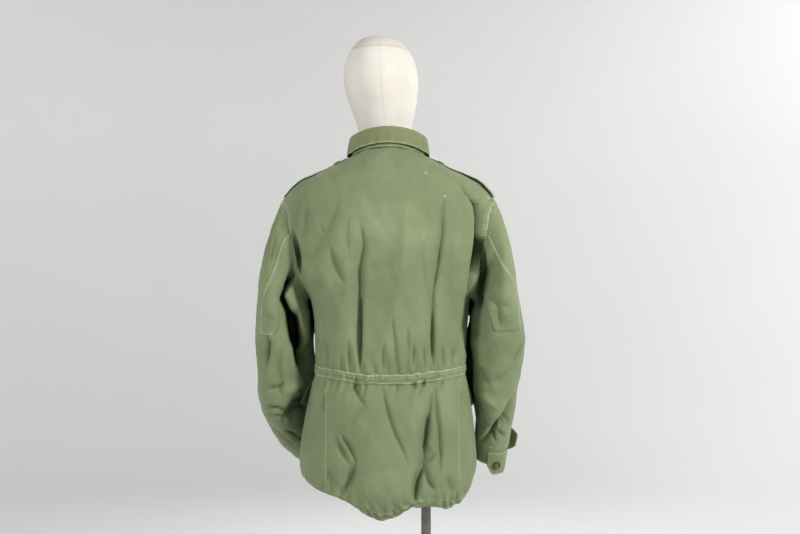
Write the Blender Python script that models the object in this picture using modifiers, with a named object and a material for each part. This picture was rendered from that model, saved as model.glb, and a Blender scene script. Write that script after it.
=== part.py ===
"""Field jacket of cotton sateen worn on an egg-headed dress form, with the form's pole and base plate.

Metres, +Z up, the jacket's front faces -Y and the wearer's left is +X. The base plate stands on z = 0.
The body of the jacket is one smooth surface: level rings from the hem (level 0) over the shoulders to
the neck (level 19). Each panel is a part of that surface with its creases, and gets its wall inwards.
Whatever lies on a panel is worked out from the panel's own points, moved out.
"""

import math

import bpy
import numpy as np
from mathutils import Matrix

WALL = 0.0015  # body and sleeve cloth, one doubled layer of sateen with its seam allowance
TRIM_WALL = 0.0018  # flaps, tabs and epaulettes, two layers turned and topstitched
SEAM = 0.0006  # between two pieces that are sewn edge to edge
LAP = 0.0004  # between a panel and what is sewn on it
ARMHOLE_LAP = 0.0010  # between a body panel and the sleeve's edge, which turns away from it
ARMHOLE_TURN = 0.003  # how far the sleeve's edge reaches past the panel's own edge

# One row for each level. Heights at the side, the back's centre and the front's centre, half-widths to
# the left and right, depths to the back and front, and the squareness of the ring (2 is an ellipse).
TORSO = [
    # side_z, back_z, front_z, left, right, back, front, square
    (0.788, 0.748, 0.775, 0.160, 0.160, 0.124, 0.124, 2.3),  # 0 hem
    (0.803, 0.764, 0.790, 0.178, 0.176, 0.137, 0.138, 2.3),
    (0.830, 0.796, 0.820, 0.189, 0.187, 0.143, 0.146, 2.3),
    (0.870, 0.842, 0.866, 0.189, 0.186, 0.143, 0.148, 2.3),
    (0.930, 0.910, 0.926, 0.180, 0.180, 0.138, 0.146, 2.3),
    (0.990, 0.975, 0.987, 0.167, 0.170, 0.131, 0.139, 2.3),
    (1.024, 1.012, 1.020, 0.157, 0.1625, 0.123, 0.130, 2.3),  # 6 lower edge of the waist channel
    (1.044, 1.031, 1.040, 0.156, 0.1625, 0.123, 0.130, 2.3),  # 7 its upper edge
    (1.090, 1.080, 1.088, 0.158, 0.166, 0.127, 0.135, 2.3),
    (1.140, 1.135, 1.140, 0.160, 0.170, 0.130, 0.140, 2.3),
    (1.185, 1.187, 1.185, 0.169, 0.175, 0.132, 0.142, 2.3),  # 10 underarm
    (1.230, 1.237, 1.230, 0.194, 0.194, 0.132, 0.141, 2.3),
    (1.280, 1.288, 1.278, 0.214, 0.214, 0.132, 0.139, 2.3),
    (1.330, 1.338, 1.322, 0.228, 0.228, 0.130, 0.135, 2.3),
    (1.369, 1.382, 1.358, 0.230, 0.230, 0.127, 0.130, 2.3),
    (1.392, 1.413, 1.383, 0.227, 0.227, 0.122, 0.124, 2.3),  # 15 shoulder point
    (1.4265, 1.445, 1.404, 0.195, 0.195, 0.113, 0.117, 2.25),
    (1.445, 1.467, 1.420, 0.159, 0.159, 0.102, 0.108, 2.2),
    (1.462, 1.485, 1.432, 0.122, 0.122, 0.090, 0.098, 2.1),
    (1.4865, 1.499, 1.444, 0.0802, 0.0784, 0.076, 0.085, 2.0),  # 19 neck
]
# How far the hem hangs below its level across the back, by x: a tongue in the middle. The drop at the
# sides fades out over the fronts.
HEM_X = (-0.16, -0.12, -0.075, -0.045, -0.02, 0.012, 0.04, 0.06, 0.085, 0.12, 0.16)
HEM_DROP = (0.030, 0.021, -0.002, -0.006, 0.005, 0.014, 0.009, 0.001, -0.008, -0.006, 0.000)
HEM_WAVES = 17  # shallow gathers round the hem
HEM_WAVE = 0.0026

LEVELS = (
    0, 0.4, 0.9, 1.6, 2.4, 3.2, 4.0, 4.6, 5.3, 6, 6.5, 7, 7.8, 8.6, 9.4, 10,
    10.12, 10.5, 11.1, 11.8, 12.5, 13.2, 13.9, 14.5, 14.88, 15, 15.45, 16.1, 16.9, 17.7, 18.4, 19,
)  # fmt: skip
ARMHOLE_LOW, ARMHOLE_HIGH = 10.0, 15.0
ARMHOLE_BACK = math.radians(17.5)  # how far the armhole reaches round to the back
ARMHOLE_FRONT = math.radians(21.0)

# The action pleat beside the right armhole: the level, the fold edge's x, and how far it stands open.
PLEAT = [
    # level, x, open
    (0.0, -0.128, 0.0),
    (7.2, -0.137, 0.0),
    (8.2, -0.146, 0.35),
    (9.9, -0.156, 0.80),
    (11.4, -0.165, 1.0),
    (12.5, -0.173, 1.0),
    (13.5, -0.176, 1.0),
    (14.2, -0.171, 1.0),
    (15.0, -0.159, 0.9),
    (15.6, -0.143, 0.65),
    (16.3, -0.124, 0.3),
    (17.2, -0.104, 0.0),
    (18.0, -0.083, 0.0),
    (19.0, -0.050, 0.0),
]
# Across the pleat in millimetres: laid flat, and the same points folded, along and out of the surface.
PLEAT_FOLD = [
    # flat, along, out
    (-24, -24, 0.5),
    (-15, -13, 3.0),
    (-8, -4.5, 4.5),
    (-3, 0.5, 2.5),
    (1, 1.0, -1.0),
    (5, -3.5, -4.5),
    (9, -10, -9.0),
    (13, -9.5, -13.5),
    (18, 0, -15.5),
    (24, 12, -13.0),
    (31, 24, -7.5),
]

# Creases of the body, as straight runs in x and z: a trough has a negative height.
BACK_CREASES = [
    # x0, z0, x1, z1, height, width
    (0.0572, 1.042, 0.0575, 1.240, -0.011, 0.015),
    (0.0575, 1.240, 0.050, 1.345, -0.004, 0.022),
    (-0.026, 1.330, 0.004, 1.190, -0.005, 0.026),
    (0.004, 1.190, 0.031, 1.060, -0.008, 0.022),
    (0.1145, 1.281, 0.0942, 1.224, -0.005, 0.014),
    (0.150, 1.250, 0.128, 1.060, -0.004, 0.022),
    (-0.095, 1.050, -0.095, 1.225, -0.009, 0.016),
    (-0.045, 1.050, -0.052, 1.210, 0.004, 0.022),
    (0.090, 1.050, 0.084, 1.200, 0.004, 0.020),
    (-0.130, 1.045, -0.126, 1.190, 0.004, 0.020),
    (0.0147, 1.005, -0.032, 0.876, -0.006, 0.014),
    (-0.095, 1.003, -0.068, 0.894, -0.012, 0.017),
    (-0.068, 0.894, -0.048, 0.777, -0.014, 0.018),
    (-0.107, 0.925, -0.111, 0.866, -0.007, 0.016),
    (0.088, 0.898, 0.067, 0.856, -0.008, 0.016),
    (0.067, 0.856, 0.093, 0.784, -0.010, 0.017),
    (0.068, 1.002, 0.052, 0.955, -0.006, 0.015),
    (0.020, 0.900, 0.008, 0.775, 0.006, 0.040),
    (-0.140, 0.980, -0.136, 0.820, 0.004, 0.026),
    (0.128, 0.990, 0.132, 0.800, -0.004, 0.014),
]
FRONT_CREASES = [
    (0.070, 1.045, 0.080, 1.210, -0.008, 0.017),
    (0.120, 1.050, 0.132, 1.180, -0.005, 0.018),
    (0.100, 1.320, 0.070, 1.230, -0.004, 0.024),
    (-0.066, 1.045, -0.074, 1.230, -0.009, 0.018),
    (-0.118, 1.050, -0.126, 1.200, 0.004, 0.020),
    (-0.110, 1.330, -0.075, 1.215, -0.005, 0.024),
    (0.062, 0.985, 0.056, 0.840, -0.005, 0.018),
    (0.110, 0.900, 0.098, 0.785, -0.009, 0.018),
    (-0.058, 0.990, -0.050, 0.860, -0.005, 0.018),
    (-0.098, 0.900, -0.084, 0.785, -0.010, 0.018),
    (-0.140, 0.880, -0.132, 0.800, -0.006, 0.016),
]

# Both arms: the centre of each ring, its half-width across the arm and its half-depth front to back.
ARM_LEFT = [
    # x, y, z, across, deep
    (0.2265, 0.004, 1.150, 0.0555, 0.078),
    (0.2285, 0.002, 1.100, 0.0565, 0.073),
    (0.2310, -0.004, 1.040, 0.0505, 0.070),
    (0.2370, -0.022, 0.980, 0.0430, 0.067),
    (0.2280, -0.063, 0.925, 0.0395, 0.059),
    (0.2080, -0.106, 0.881, 0.0375, 0.052),
    (0.1840, -0.142, 0.850, 0.0365, 0.048),
    (0.1600, -0.170, 0.826, 0.0360, 0.046),
]
ARM_RIGHT = [
    (-0.2285, 0.004, 1.150, 0.053, 0.078),
    (-0.2320, 0.002, 1.100, 0.0565, 0.073),
    (-0.2330, -0.004, 1.040, 0.052, 0.067),
    (-0.2290, -0.012, 0.985, 0.047, 0.062),
    (-0.2285, -0.021, 0.935, 0.041, 0.056),
    (-0.2255, -0.029, 0.895, 0.0365, 0.050),
    (-0.2225, -0.036, 0.862, 0.0345, 0.046),
    (-0.2205, -0.041, 0.834, 0.0335, 0.044),
]
HEAD_STATIONS = (0, 0.08, 0.2, 0.35, 0.52, 0.7, 0.86)  # from the armhole to the first arm ring
ARM_STATIONS = tuple(1 + 0.5 * i for i in range(15))
SLEEVE_BACK_CREASES_LEFT = [
    (0.205, 1.262, 0.222, 1.205, -0.014, 0.013),
    (0.222, 1.205, 0.2117, 1.130, -0.024, 0.014),
    (0.2117, 1.130, 0.190, 1.030, -0.020, 0.016),
    (0.246, 1.100, 0.238, 1.000, -0.005, 0.012),
    (0.278, 0.955, 0.222, 0.940, -0.007, 0.011),
    (0.262, 0.915, 0.205, 0.925, -0.006, 0.010),
    (0.255, 1.245, 0.243, 1.150, 0.004, 0.014),
]
SLEEVE_BACK_CREASES_RIGHT = [
    (-0.200, 1.268, -0.196, 1.190, -0.016, 0.014),
    (-0.196, 1.190, -0.190, 1.100, -0.018, 0.014),
    (-0.235, 1.120, -0.262, 1.060, -0.005, 0.014),
    (-0.222, 1.020, -0.248, 0.985, -0.006, 0.012),
    (-0.262, 0.964, -0.203, 0.868, -0.006, 0.011),
    (-0.250, 1.240, -0.240, 1.140, 0.004, 0.016),
]
SLEEVE_FRONT_CREASES_LEFT = [
    (0.226, 1.255, 0.236, 1.170, -0.007, 0.015),
    (0.236, 1.170, 0.230, 1.060, -0.007, 0.016),
    (0.262, 1.110, 0.225, 1.075, -0.006, 0.012),
    (0.262, 1.050, 0.222, 1.085, -0.005, 0.012),
    (0.258, 0.960, 0.216, 0.990, -0.006, 0.012),
]
SLEEVE_FRONT_CREASES_RIGHT = [  # x as if it were the left sleeve's
    (0.214, 1.255, 0.222, 1.170, -0.012, 0.015),
    (0.222, 1.170, 0.214, 1.060, -0.012, 0.016),
    (0.262, 1.110, 0.225, 1.075, -0.006, 0.012),
    (0.262, 1.050, 0.222, 1.085, -0.005, 0.012),
    (0.258, 0.960, 0.216, 0.990, -0.006, 0.012),
]

GUSSET = (1, 10, 3, 5)  # the sleeve gusset's first and last ring, and its first and last column

BACK_COLUMNS = 21  # of the back, from the left edge to the pleat
BEYOND_COLUMNS = 3  # of the back, from the pleat to the right edge
FRONT_COLUMNS = 13
BACK_REACH, FRONT_REACH = 0.13, 0.12  # columns nearer the side line than this are pressed together

# Collar: the stand's height, and where the fall's edge ends up from the neck seam, outwards and upwards.
# The rows are evenly spaced from the left front end round the back to the right one.
COLLAR_END = math.radians(78)  # how far the ends reach round to the front from the side
COLLAR = [
    # height, out, up
    (0.033, 0.0365, -0.0270),
    (0.035, 0.0255, -0.0160),
    (0.037, 0.0135, -0.0040),
    (0.0375, 0.0072, 0.0020),
    (0.039, 0.0080, 0.0050),
    (0.0405, 0.0095, 0.0085),
    (0.0410, 0.0100, 0.0095),
    (0.0405, 0.0095, 0.0085),
    (0.039, 0.0080, 0.0050),
    (0.0365, 0.0072, 0.0020),
    (0.036, 0.0135, -0.0040),
    (0.035, 0.0255, -0.0160),
    (0.033, 0.0365, -0.0270),
]
COLLAR_COLUMNS = 21

STORM_LOW, STORM_HIGH = 0.9, 18.4  # levels of the storm flap's lower and upper end
FRONT_BUTTON_Z = (1.385, 1.270, 1.155, 0.945, 0.860)
BUTTON_R = 0.0086
BUTTON_T = 0.0030

CHANNEL = (6.0, 7.0)  # levels of the waist channel's edges
EPAULETTE = [
    # level, half_width, lift above the shoulder
    (15.18, 0.0275, 0.0012),
    (15.45, 0.0272, 0.0010),
    (16.1, 0.0262, 0.0018),
    (16.9, 0.0252, 0.0018),
    (17.7, 0.0242, 0.0010),
    (18.3, 0.0232, 0.0008),
    (18.7, 0.0100, 0.0008),
]
FLAP = [
    # level, middle's extra drop in levels, lift above the panel
    (5.3, 0.0, 0.0),
    (5.15, 0.02, 0.0030),
    (4.85, 0.05, 0.0060),
    (4.55, 0.09, 0.0085),
    (4.30, 0.13, 0.0100),
]
FLAP_COLUMNS = range(1, 9)  # the panel columns that the flap's top is sewn to, from the side seam
TAB = [
    # ring from the sleeve's end, past that end, first and last column round the arm
    (-3, 0.0, 1.0, 6.0),
    (-2, 0.0, 1.0, 6.0),
    (-1, 0.0, 1.0, 6.0),
    (-1, 0.0100, 1.4, 5.6),
    (-1, 0.0215, 2.1, 4.9),
]
STRAP = [
    # column round the arm, past it along the tangent, its lowest and highest ring from the end
    (16, 0.0, -2.0, -5.0),
    (17, 0.0, -2.0, -5.0),
    (18, 0.0, -2.0, -5.0),
    (18, 0.020, -2.1, -4.9),
    (18, 0.037, -2.7, -4.3),
]

# Dress form above the shoulders: height, centre, half-width, depth back and front.
HEAD = [
    # z, x, y, half_width, back, front
    (1.506, 0.004, 0.004, 0.0625, 0.058, 0.060),
    (1.528, 0.007, 0.003, 0.0575, 0.056, 0.058),
    (1.552, 0.009, 0.002, 0.0590, 0.060, 0.062),
    (1.580, 0.0115, 0.001, 0.0665, 0.073, 0.073),
    (1.612, 0.0145, 0.000, 0.0750, 0.087, 0.084),
    (1.648, 0.0170, 0.000, 0.0797, 0.095, 0.091),
    (1.682, 0.0185, 0.001, 0.0760, 0.091, 0.087),
    (1.710, 0.0200, 0.002, 0.0645, 0.077, 0.073),
    (1.731, 0.0215, 0.003, 0.0455, 0.054, 0.051),
    (1.741, 0.0225, 0.003, 0.0240, 0.029, 0.028),
]
HEAD_TOP = (0.0230, 0.003, 1.7445)
FORM_COLUMNS = 24
FORM_LEVELS = (
    3.2, 4.0, 5.0, 6.0, 7.0, 8.2, 9.6, 11.0, 12.3, 13.4, 14.3, 15.0, 15.45, 16.1, 16.9, 17.7, 18.4, 19,
)  # fmt: skip
FORM_BOTTOM = 0.868
FORM_SHRINK = 0.034  # how much slimmer the form is than the jacket below its shoulders
FORM_TOUCH = 0.0010  # the cloth's inner face hangs this far above the form's shoulders
POLE_X, POLE_R = -0.0796, 0.0105
BASE_R, BASE_T = 0.185, 0.012
SOCKET_R, SOCKET_T = 0.030, 0.022


def spline(rows, at):
    """Catmull-Rom curve through the rows of a table, read at fractional row numbers."""
    rows, at = np.asarray(rows, float), np.asarray(at, float)
    i = np.clip(np.floor(at).astype(int), 0, len(rows) - 2)
    f = (at - i)[..., None]
    before, low = rows[np.maximum(i - 1, 0)], rows[i]
    high, after = rows[i + 1], rows[np.minimum(i + 2, len(rows) - 1)]
    bend = 2 * before - 5 * low + 4 * high - after
    twist = 3 * (low - high) + after - before
    return low + 0.5 * f * (high - before + f * (bend + f * twist))


def unit(v):
    return v / np.linalg.norm(v, axis=-1, keepdims=True)


def torso(theta, level):
    """Points of the smooth body: a superellipse at each level, raised or lowered towards its middle."""
    theta, level = np.broadcast_arrays(np.asarray(theta, float), np.asarray(level, float))
    side_z, back_z, front_z, left, right, back, front, n = np.moveaxis(spline(TORSO, level), -1, 0)
    c, s = np.cos(theta), np.sin(theta)
    a, b = np.where(c > 0, left, right), np.where(s > 0, back, front)
    r = ((np.abs(c) / a) ** n + (np.abs(s) / b) ** n) ** (-1 / n)
    z = side_z + (np.where(s > 0, back_z, front_z) - side_z) * s * s
    low = np.clip(1 - level / 3.0, 0, 1) ** 2
    z = z - np.interp(r * c, HEM_X, HEM_DROP) * np.clip(1 + 2 * s, 0, 1) * low
    wave = np.sin(HEM_WAVES * theta) * np.clip(1 - level / 1.6, 0, 1)
    r = r + HEM_WAVE * wave
    return np.stack([r * c, r * s, z + 0.6 * HEM_WAVE * wave], -1)


def torso_frame(theta, level):
    """Points, unit tangents round the body and unit normals outwards."""
    step = 1e-4
    points = torso(theta, level)
    round_ = torso(theta + step, level) - torso(theta - step, level)
    up = torso(theta, np.minimum(level + step, 19)) - torso(theta, np.maximum(level - step, 0))
    return points, unit(round_), unit(np.cross(round_, up))


def creases(x, z, table):
    """Height of soft ridges and troughs: a bell across each run that fades at both of its ends."""
    height = np.zeros_like(x)
    for x0, z0, x1, z1, high, wide in table:
        run = math.hypot(x1 - x0, z1 - z0)
        along = ((x - x0) * (x1 - x0) + (z - z0) * (z1 - z0)) / run
        off = ((x - x0) * (z1 - z0) - (z - z0) * (x1 - x0)) / run
        inside = np.clip(np.minimum(along, run - along) / (2 * wide) + 0.5, 0, 1)
        height += high * np.exp(-((off / wide) ** 2)) * inside * inside * (3 - 2 * inside)
    return height


def seam_angle(level, reach):
    """Angle from the side line to a panel's edge: the armhole's half-ellipse, or half a seam."""
    low = SEAM / 2 / spline(TORSO, level)[..., 3]
    middle = (ARMHOLE_LOW + ARMHOLE_HIGH) / 2
    k = (np.asarray(level, float) - middle) / (ARMHOLE_HIGH - middle)
    return np.maximum(low, reach * np.sqrt(np.clip(1 - k * k, 0, 1)))


def arc_angles(level, start, end, lengths):
    """Angles at the given lengths along the ring from its start angle."""
    theta = np.linspace(start, end, 721)
    run = np.linalg.norm(np.diff(torso(theta, level), axis=0), axis=1)
    return np.interp(lengths, np.concatenate([[0], np.cumsum(run)]), theta)


def arc_length(level, start, end):
    theta = np.linspace(start, end, 721)
    return np.linalg.norm(np.diff(torso(theta, level), axis=0), axis=1).sum()


def squeezed(lengths, edge, reach):
    """Lengths from a side line, pressed together near it so that the first one falls on the panel's edge."""
    return np.where(lengths < reach, edge + lengths * (reach - edge) / reach, lengths)


def back_panel(levels, plain_columns, outer_columns):
    """Grid of the back: even columns up to the pleat, the pleat's own columns, then to the right edge."""
    flat, along, out = np.array(PLEAT_FOLD).T / 1000
    spots = np.array(PLEAT)
    grid = []
    for level in levels:
        low = float(seam_angle(level, ARMHOLE_BACK))
        x, opened = (float(np.interp(level, spots[:, 0], spots[:, k])) for k in (1, 2))
        opened = opened * opened * (3 - 2 * opened)
        scan = np.linspace(math.pi / 2, math.pi, 721)
        fold = float(np.interp(-x, -torso(scan, level)[:, 0], scan))
        edge = arc_length(level, 0, low)
        total = arc_length(level, 0, math.pi - low)
        at = arc_length(level, 0, fold)
        lengths = np.concatenate(
            [
                squeezed(np.linspace(0, at + flat[0], plain_columns), edge, BACK_REACH)[:-1],
                at + flat,
                np.linspace(at + flat[-1], total, outer_columns + 1)[1:],
            ]
        )
        theta = arc_angles(level, 0, math.pi, lengths)
        points, round_, normal = torso_frame(theta, np.full(len(theta), float(level)))
        high = creases(points[:, 0], points[:, 2], BACK_CREASES)
        high *= np.clip((lengths - edge) / 0.03, 0, 1) * np.clip((total - lengths) / 0.03, 0, 1)
        slide = np.zeros(len(theta))
        span = slice(plain_columns - 1, plain_columns - 1 + len(flat))
        slide[span] = (along - flat) * opened
        high[span] += out * opened
        grid.append(points + round_ * slide[:, None] + normal * high[:, None])
    return np.array(grid)


def front_panel(levels, columns, side):
    """Grid of one front: the right from its side edge to the centre, the left from the centre on."""
    grid = []
    for level in levels:
        low = float(seam_angle(level, ARMHOLE_FRONT))
        sideways, middle = (0, -math.pi / 2) if side > 0 else (math.pi, 1.5 * math.pi)
        total = arc_length(level, sideways, middle) - SEAM / 2
        edge = arc_length(level, sideways, -low if side > 0 else math.pi + low)
        lengths = squeezed(np.linspace(0, total, columns), edge, FRONT_REACH)
        theta = arc_angles(level, sideways, middle, lengths)
        points, _, normal = torso_frame(theta, np.full(len(theta), float(level)))
        high = creases(points[:, 0], points[:, 2], FRONT_CREASES)
        high *= np.clip((lengths - edge) / 0.03, 0, 1)
        high *= np.clip((np.abs(points[:, 0]) - 0.043) / 0.02, 0, 1)
        grid.append((points + normal * high[:, None])[::-side])
    return np.array(grid)


def grid_normals(grid, closed=False, flip=False):
    """Unit normals of a grid from the differences along its columns and rows."""
    if closed:
        across = np.roll(grid, -1, 1) - np.roll(grid, 1, 1)
    else:
        across = np.gradient(grid, axis=1)
    normal = unit(np.cross(across, np.gradient(grid, axis=0)))
    return -normal if flip else normal


def read_grid(grid, rows, columns, closed=False):
    """The grid between its points, at fractional rows and columns."""
    rows, columns = np.broadcast_arrays(np.asarray(rows, float), np.asarray(columns, float))
    wide = grid.shape[1]
    i = np.clip(np.floor(rows).astype(int), 0, grid.shape[0] - 2)
    j = np.floor(columns).astype(int)
    j = j % wide if closed else np.clip(j, 0, wide - 2)
    k = (j + 1) % wide
    f = (rows - i)[..., None]
    g = (columns - np.floor(columns))[..., None] if closed else (columns - j)[..., None]
    low = grid[i, j] * (1 - g) + grid[i, k] * g
    high = grid[i + 1, j] * (1 - g) + grid[i + 1, k] * g
    return low * (1 - f) + high * f


def lapped(start, towards):
    """Points 3 mm back from an edge, into the panel."""
    gap = np.linalg.norm(towards - start, axis=-1, keepdims=True)
    return start + (towards - start) * ARMHOLE_TURN / gap


def armhole_ring(back, front, levels, side):
    """Points on the panels 3 mm outside the armhole, from the shoulder down the back and up the front."""
    levels = np.asarray(levels, float)
    inside = np.where((levels > ARMHOLE_LOW + 0.01) & (levels < ARMHOLE_HIGH - 0.01))[0]
    top, low = int(np.argmin(abs(levels - ARMHOLE_HIGH))), int(np.argmin(abs(levels - ARMHOLE_LOW)))
    runs = []
    for grid, edge, inward in (
        (back, 0 if side > 0 else -1, 1 if side > 0 else -2),
        (front, -1 if side > 0 else 0, -2 if side > 0 else 1),
    ):
        normal = grid_normals(grid)
        middle = lapped(grid[inside, edge], grid[inside, inward]), normal[inside, edge]
        ends = [
            (lapped(grid[top, edge], grid[top + 1, edge]), normal[top, edge]),
            (lapped(grid[low, edge], grid[low - 1, edge]), normal[low, edge]),
        ]
        runs.append((middle, ends))
    (back_run, back_ends), (front_run, front_ends) = runs
    tip = [(a + b) / 2 for a, b in zip(back_ends[0], front_ends[0])]
    pit = [(a + b) / 2 for a, b in zip(back_ends[1], front_ends[1])]
    ring, normal = (
        np.concatenate([[tip[k]], back_run[k][::-1], [pit[k]], front_run[k]]) for k in (0, 1)
    )
    middle = (ARMHOLE_LOW + ARMHOLE_HIGH) / 2
    down = np.arccos((levels[inside][::-1] - middle) / (ARMHOLE_HIGH - middle))
    angle = np.concatenate([[0], down, [math.pi], 2 * math.pi - down[::-1]])
    return ring + unit(normal) * ARMHOLE_LAP, angle


def arm_rings(table, side, angle, stations):
    """Rings of the arm: ellipses square to the line through their centres, from station 1 on."""
    at = np.asarray(stations, float) - 1
    values = spline(table, at)
    ahead = spline(table, np.minimum(at + 0.05, len(table) - 1))
    behind = spline(table, np.maximum(at - 0.05, 0))
    along = unit(ahead[:, :3] - behind[:, :3])
    outer = np.array([side, 0.0, 0.0])
    across = unit(outer - along * (along @ outer)[:, None])
    deep = unit(np.cross(along, across))
    deep *= np.sign(deep[:, 1])[:, None]
    c, s = np.cos(angle)[None, :, None], np.sin(angle)[None, :, None]
    wide, thick = values[:, 3, None, None], values[:, 4, None, None]
    return values[:, None, :3] + across[:, None] * wide * c + deep[:, None] * thick * s


def sleeve(table, side, back, front, levels, head, arm, back_creases, front_creases):
    """Grid of a sleeve: from the armhole's ring it turns down into the arm's rings, with its creases."""
    ring, angle = armhole_ring(back, front, levels, side)
    rings = arm_rings(table, side, angle, arm)
    first = arm_rings(table, side, angle, [1.0])[0]
    later = arm_rings(table, side, angle, [1.1])[0]
    gap = np.linalg.norm(first - ring, axis=1, keepdims=True)
    leave = unit(
        np.stack(
            [
                (0.85 - 0.47 * np.maximum(np.cos(angle), 0)) * side,
                0.25 * np.sin(angle),
                -0.35 - 0.57 * np.maximum(np.cos(angle), 0),
            ],
            -1,
        )
    )
    arrive = unit(later - first)
    rows = []
    for t in head:
        h0, h1 = (1 + 2 * t) * (1 - t) ** 2, t * t * (3 - 2 * t)
        d0, d1 = t * (1 - t) ** 2, t * t * (t - 1)
        rows.append(h0 * ring + h1 * first + (d0 * leave + d1 * arrive) * gap * 1.15)
    grid = np.concatenate([np.array(rows), rings])
    normal = grid_normals(grid, closed=True, flip=side > 0)
    behind = np.clip(0.5 + 1.6 * np.sin(angle), 0, 1)[None]
    high = creases(grid[..., 0], grid[..., 2], back_creases) * behind
    high += creases(grid[..., 0] * side, grid[..., 2], front_creases) * (1 - behind)
    calm = np.clip(np.concatenate([np.asarray(head, float), np.asarray(arm, float)]) / 0.35, 0, 1)
    return grid + normal * (high * calm[:, None])[..., None], angle


def collar(columns):
    """Grid of the folded collar: the stand rises from the neck seam, rolls over, and falls outside."""
    theta = np.linspace(-COLLAR_END, math.pi + COLLAR_END, columns)
    where = np.linspace(0, len(COLLAR) - 1, columns)
    height, out, up = np.moveaxis(spline(COLLAR, where), -1, 0)
    base, _, normal = torso_frame(theta, np.full(columns, 19.0))
    outward = unit(normal * [1, 1, 0])
    base = base + np.array([0, 0, 0.0012])
    profile = []
    for h, v in ((0, 0), (-0.0010, 0.35), (-0.0020, 0.72), (-0.0019, 0.93), (0.0, 1.0), (0.0024, 0.955)):
        profile.append(base + outward * h + np.outer(height * v, [0, 0, 1]))
    top = profile[-1]
    edge = base + outward * out[:, None] + np.outer(up, [0, 0, 1])
    for f in (0.33, 0.68, 1.0):
        bow = 0.0016 * math.sin(math.pi * f)
        profile.append(top * (1 - f) + edge * f + outward * bow)
    return np.array(profile)


def scene_collection(name):
    group = bpy.data.collections.new(name)
    bpy.context.scene.collection.children.link(group)
    return group


def paint(name, colour, roughness, metallic=0.0):
    material = bpy.data.materials.new(name)
    material.use_nodes = True
    shader = material.node_tree.nodes["Principled BSDF"]
    shader.inputs["Base Color"].default_value = (*colour, 1)
    shader.inputs["Roughness"].default_value = roughness
    shader.inputs["Metallic"].default_value = metallic
    return material


def place(obj, material, smooth=True):
    for group in list(obj.users_collection):
        group.objects.unlink(obj)
    JACKET.objects.link(obj)
    obj.data.materials.append(material)
    obj.data.polygons.foreach_set("use_smooth", [smooth] * len(obj.data.polygons))
    return obj


def cloth(name, grid, material, wall=WALL, side=-1, closed=False, flip=False):
    """Object from a grid: rows of quads, with a Solidify wall inwards (-1) or outwards (1)."""
    rows, columns = grid.shape[:2]
    index = np.arange(rows * columns).reshape(rows, columns)
    right = np.roll(index, -1, 1) if closed else index[:, 1:]
    left = index if closed else index[:, :-1]
    quads = np.stack([left[:-1], right[:-1], right[1:], left[1:]], -1).reshape(-1, 4)
    if flip:
        quads = quads[:, ::-1]
    mesh = bpy.data.meshes.new(name)
    mesh.from_pydata(grid.reshape(-1, 3).tolist(), [], quads.tolist())
    obj = place(bpy.data.objects.new(name, mesh), material)
    skin = obj.modifiers.new("wall", "SOLIDIFY")
    skin.thickness = wall
    skin.offset = side
    skin.use_rim = True
    return obj


def disc(name, centre, normal, radius, thick, material, sides=16):
    """A round plate that stands on its centre point, along its normal, with its rim softened."""
    bpy.ops.mesh.primitive_cylinder_add(vertices=sides, radius=radius, depth=thick)
    obj = bpy.context.object
    obj.name = obj.data.name = name
    axis = unit(np.asarray(normal, float))
    turn = np.array([0, 0, 1.0]) if abs(axis[2]) < 0.9 else np.array([0, 1.0, 0])
    x = unit(np.cross(turn, axis))
    matrix = np.eye(4)
    matrix[:3, :3] = np.stack([x, np.cross(axis, x), axis], 1)
    matrix[:3, 3] = np.asarray(centre, float) + axis * thick / 2
    obj.data.transform(Matrix(matrix.tolist()))
    return place(obj, material, smooth=False)


def turned(name, profile, centre, material, steps):
    """A round part: its profile, radius and height from the top down its outer side, is screwed round."""
    mesh = bpy.data.meshes.new(name)
    mesh.from_pydata([(r, 0, z) for r, z in profile], [(i, i + 1) for i in range(len(profile) - 1)], [])
    obj = place(bpy.data.objects.new(name, mesh), material)
    screw = obj.modifiers.new("round", "SCREW")
    screw.steps = screw.render_steps = steps
    screw.use_merge_vertices = True
    screw.merge_threshold = 0.0001
    obj.location = centre
    return obj


for old in list(bpy.data.objects):
    bpy.data.objects.remove(old, do_unlink=True)
JACKET = scene_collection("field_jacket_on_dress_form")

olive = paint("olive_sateen", (0.235, 0.275, 0.165), 0.82)
button_olive = paint("olive_plastic", (0.085, 0.095, 0.055), 0.45)
linen = paint("form_linen", (0.80, 0.75, 0.66), 0.85)
steel = paint("brushed_steel", (0.36, 0.33, 0.30), 0.38, 1.0)
base_black = paint("base_enamel", (0.045, 0.045, 0.048), 0.42, 0.3)

# Body panels, sewn at the sides and on top of the shoulders.
back = back_panel(LEVELS, BACK_COLUMNS, BEYOND_COLUMNS)
front_left = front_panel(LEVELS, FRONT_COLUMNS, 1)
front_right = front_panel(LEVELS, FRONT_COLUMNS, -1)
cloth("back", back, olive)
cloth("front_left", front_left, olive)
cloth("front_right", front_right, olive)

# Sleeves, lapped over the armholes, hanging empty beside the body. The left one bends forward.
arms = {}
for side, word, table, behind, ahead in (
    (1, "left", ARM_LEFT, SLEEVE_BACK_CREASES_LEFT, SLEEVE_FRONT_CREASES_LEFT),
    (-1, "right", ARM_RIGHT, SLEEVE_BACK_CREASES_RIGHT, SLEEVE_FRONT_CREASES_RIGHT),
):
    front = front_left if side > 0 else front_right
    grid, angle = sleeve(
        table, side, back, front, LEVELS, HEAD_STATIONS, ARM_STATIONS, behind, ahead
    )
    arms[word] = grid, angle
    cloth(f"sleeve_{word}", grid, olive, side=1, closed=True, flip=side > 0)

# Collar, folded over.
cloth("collar", collar(COLLAR_COLUMNS), olive, wall=TRIM_WALL)

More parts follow.
